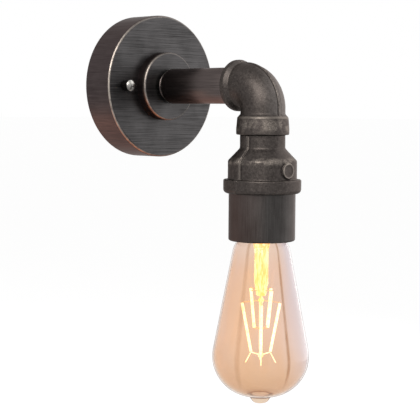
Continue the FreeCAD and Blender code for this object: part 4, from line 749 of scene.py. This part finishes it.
def remeshed_copy(node, name, voxel):
    """Copy of a CAD node's mesh on an even grid of quads."""
    copy = bpy.data.objects.new(name, frame["nodes"][node].data.copy())
    bpy.context.scene.collection.objects.link(copy)
    grid = copy.modifiers.new("grid", "REMESH")
    grid.mode = "VOXEL"
    grid.voxel_size = voxel
    smooth = copy.modifiers.new("smooth", "SMOOTH")
    smooth.factor = 0.5
    smooth.iterations = CAST_SMOOTHING
    graph = bpy.context.evaluated_depsgraph_get()
    mesh = bpy.data.meshes.new_from_object(copy.evaluated_get(graph))
    copy.modifiers.clear()
    copy.data = mesh
    return copy


def rib_height(place):
    """Extra height, in mm, of the low step beside the reducer's moulded ribs."""
    across = abs(place.y - DROP_AXIS[1] / MM)
    below = -ELBOW_FOOT_DROP - place.z
    if below < 0 or abs(place.x) < RIB_HALF:
        return 0.0
    return RIB_STEP * min(max((RIB_HALF - across) / RIB_SLOPE, 0.0), 1.0)


def roughened(piece):
    """Moves each point along its normal by several sizes of smooth noise."""
    normals = [point.normal.copy() for point in piece.data.vertices]
    for point, normal in zip(piece.data.vertices, normals):
        place = point.co / MM
        height = sum(depth * noise.noise(place * waves) for waves, depth in CAST_WAVES)
        if normal.x * math.copysign(1, place.x) > 0.5:
            height += rib_height(place)
        point.co += normal * (height * MM)
    piece.data.shade_smooth()


def cast_piece(node):
    """Adds the cast skin that stands for a CAD casting."""
    piece = remeshed_copy(node, node + "_casting", CAST_VOXEL)
    roughened(piece)
    piece.data.materials.clear()
    piece.data.materials.append(FINISHES["cast_fitting"])
    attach(piece, "fixture")
    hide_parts(node)


cast_piece("elbow")
cast_piece("reducer")


# ---- threads ---------------------------------------------------------------------------------

THREAD_STEP = 0.1                       # height of each slice, as a share of the pitch
THREAD_FADE = 0.4                       # a thread runs out over this share of its pitch
SHARP_ANGLE = math.radians(50)
LAMP_THREAD_PITCH = 3.62                # in mm, as the joint's travel for each turn
LAMP_THREAD_DEPTH = 1.0
PIPE_THREAD_PITCH = 1.8
PIPE_THREAD_DEPTH = 0.8
CAP_THREAD_FOOT = 5.2                   # bottom of the lamp cap up to its thread, in mm
CAP_THREAD_HEAD = 3.0                   # top of the lamp cap down to the end of its thread
SHELL_TOP_ROOM = 1.2                    # top of the shell down to the end of its thread

cap_foot, cap_head = low_high("bulb_cap", 2)
shell_foot, shell_head = low_high("screw_shell", 2)
pipe_start = low_high("arm_pipe", 1)[1]

# node, body, axis, centre, pitch, depth, start and end along the axis, least and greatest
# radius of the wall in mm, and the share of the depth at the start and the end
THREADS = (
    ("bulb_cap", "bulb", 2, DROP_AXIS, LAMP_THREAD_PITCH, LAMP_THREAD_DEPTH,
     cap_foot + CAP_THREAD_FOOT * MM, cap_head - CAP_THREAD_HEAD * MM, 12.6, 13.3, 0.0, 1.0),
    ("screw_shell", "fixture", 2, DROP_AXIS, LAMP_THREAD_PITCH, LAMP_THREAD_DEPTH,
     shell_foot, shell_head - SHELL_TOP_ROOM * MM, 13.3, 14.0, 0.0, 0.0),
    ("arm_pipe", "fixture", 1, Vector((0, 0, 0)), PIPE_THREAD_PITCH, PIPE_THREAD_DEPTH,
     PIPE_SHOULDER, pipe_start, PIPE_THREAD_RADIUS - 0.2, PIPE_THREAD_RADIUS + 0.1, 1.0, 1.0),
)


def thread_share(place, axis, centre, pitch, start, end, start_share, end_share):
    """Share of a right-hand thread's depth that is pressed in at a point."""
    first, second = (axis + 1) % 3, (axis + 2) % 3
    turn = math.atan2(place[second] - centre[second], place[first] - centre[first])
    phase = 2 * math.pi * place[axis] / (pitch * MM) - turn
    share = 0.5 - 0.5 * math.sin(phase)
    for edge, edge_share in ((start, start_share), (end, end_share)):
        near = 1 - min(abs(place[axis] - edge) / (THREAD_FADE * pitch * MM), 1.0)
        share += (edge_share - share) * near
    return share


def threaded_piece(node, body, axis, centre, pitch, depth, start, end, least, greatest,
                   start_share, end_share):
    """Adds a copy of a CAD piece with a thread pressed into its round wall."""
    mesh = frame["nodes"][node].data.copy()
    piece = bpy.data.objects.new(node + "_threaded", mesh)
    bpy.context.scene.collection.objects.link(piece)
    shape = bmesh.new()
    shape.from_mesh(mesh)
    bmesh.ops.remove_doubles(shape, verts=shape.verts, dist=1e-7)
    along = Vector([1 if other == axis else 0 for other in range(3)])
    slices = round((end - start) / (THREAD_STEP * pitch * MM))
    for number in range(1, slices):
        cut = along * (start + (end - start) * number / slices)
        bmesh.ops.bisect_plane(shape, geom=shape.verts[:] + shape.edges[:] + shape.faces[:],
                               plane_co=cut, plane_no=along, dist=1e-7)
    for point in shape.verts:
        away = point.co - centre
        away -= along * away.dot(along)
        inside = start - 1e-6 <= point.co[axis] <= end + 1e-6
        if inside and least < away.length / MM < greatest:
            share = thread_share(point.co, axis, centre, pitch, start, end,
                                 start_share, end_share)
            point.co -= away.normalized() * (depth * share * MM)
    shape.to_mesh(mesh)
    shape.free()
    if "custom_normal" in mesh.attributes:
        mesh.attributes.remove(mesh.attributes["custom_normal"])
    mesh.shade_smooth()
    mesh.set_sharp_from_angle(angle=SHARP_ANGLE)
    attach(piece, body)
    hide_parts(node)


for thread_values in THREADS:
    threaded_piece(*thread_values)


# ---- camera, stage and lamps ----------------------------------------------------------------

def add_camera():
    """Camera at the photograph's angle."""
    data = bpy.data.cameras.new("camera")
    data.lens = CAMERA_LENS
    data.sensor_width = 36.0
    data.clip_start = 0.01
    camera = bpy.data.objects.new("camera", data)
    turn = Matrix.Rotation(CAMERA_AZIMUTH, 4, "Z")
    tilt = Matrix.Rotation(math.pi / 2 - CAMERA_PITCH, 4, "X")
    roll = Matrix.Rotation(CAMERA_ROLL, 4, "Z")
    camera.matrix_world = Matrix.Translation(CAMERA_PLACE) @ turn @ tilt @ roll
    bpy.context.scene.collection.objects.link(camera)
    bpy.context.scene.camera = camera


def seen_ray(tree):
    """1 for camera, glossy and transmission rays, else 0."""
    path = tree.nodes.new("ShaderNodeLightPath")
    seen = maths(tree, "MAXIMUM", path.outputs["Is Camera Ray"], path.outputs["Is Glossy Ray"])
    return maths(tree, "MAXIMUM", seen, path.outputs["Is Transmission Ray"])


def add_floor():
    """Wide pale floor that blends into the background and keeps the shadow."""
    mesh = bpy.data.meshes.new("floor")
    shape = bmesh.new()
    bmesh.ops.create_grid(shape, x_segments=8, y_segments=8, size=FLOOR_SIZE / 2)
    shape.to_mesh(mesh)
    shape.free()
    floor = bpy.data.objects.new("floor", mesh)
    floor.location = (0, 0, -FLOOR_DROP)
    bpy.context.scene.collection.objects.link(floor)
    made, tree, shader = new_material("pale_floor")
    set_inputs(shader, Base_Color=FLOOR_COLOUR, Roughness=0.9)
    white = tree.nodes.new("ShaderNodeEmission")
    white.inputs["Color"].default_value = BACKGROUND_COLOUR
    white.inputs["Strength"].default_value = FLOOR_WHITE
    none = tree.nodes.new("ShaderNodeEmission")
    none.inputs["Strength"].default_value = 0.0
    thinned = mixed_shader(tree, FLOOR_OWN_SHARE, none.outputs[0], shader.outputs[0])
    total = tree.nodes.new("ShaderNodeAddShader")
    tree.links.new(white.outputs[0], total.inputs[0])
    tree.links.new(thinned, total.inputs[1])
    surface = mixed_shader(tree, seen_ray(tree), shader.outputs[0], total.outputs[0])
    tree.links.new(surface, tree.nodes["Material Output"].inputs["Surface"])
    mesh.materials.append(made)


def add_world():
    """Plain soft light all round; white where it is seen."""
    world = bpy.data.worlds.new("studio")
    world.use_nodes = True
    bpy.context.scene.world = world
    tree = world.node_tree
    plain = tree.nodes["Background"]
    plain.inputs["Color"].default_value = (1, 1, 1, 1)
    plain.inputs["Strength"].default_value = SOFT_LIGHT_LEVEL
    seen = tree.nodes.new("ShaderNodeBackground")
    seen.inputs["Color"].default_value = BACKGROUND_COLOUR
    either = tree.nodes.new("ShaderNodeMixShader")
    tree.links.new(seen_ray(tree), either.inputs[0])
    tree.links.new(plain.outputs[0], either.inputs[1])
    tree.links.new(seen.outputs[0], either.inputs[2])
    tree.links.new(either.outputs[0], tree.nodes["World Output"].inputs["Surface"])


def add_lamp(name, place, target, size, power, colour):
    """Soft rectangular lamp aimed at a point."""
    data = bpy.data.lights.new(name, "AREA")
    data.shape = "RECTANGLE"
    data.size, data.size_y = size
    data.energy = power
    data.color = colour
    lamp = bpy.data.objects.new(name, data)
    lamp.location = place
    aim = (Vector(target) - Vector(place)).to_track_quat("-Z", "Y")
    lamp.rotation_euler = aim.to_euler()
    lamp.visible_camera = False
    lamp.visible_transmission = False
    bpy.context.scene.collection.objects.link(lamp)


# name, place, target, size across and along, watts, colour
LAMPS = (
    ("side_lamp", (1.0, -0.35, 0.15), (0, -0.12, -0.08), (1.8, 2.0), 18.0, (1.0, 0.99, 0.98)),
    ("front_lamp", (-0.75, -0.55, 0.6), (0, -0.1, -0.08), (0.7, 0.7), 13.0, (1.0, 0.97, 0.92)),
    ("warm_lamp", (-0.25, 0.35, -0.3), (0, -0.05, -0.03), (0.3, 0.2), 0.16, (1.0, 0.45, 0.22)),
)

add_camera()
add_floor()
add_world()
for lamp_values in LAMPS:
    add_lamp(*lamp_values)

bpy.context.scene.view_settings.view_transform = "Standard"

bpy.context.view_layer.update()
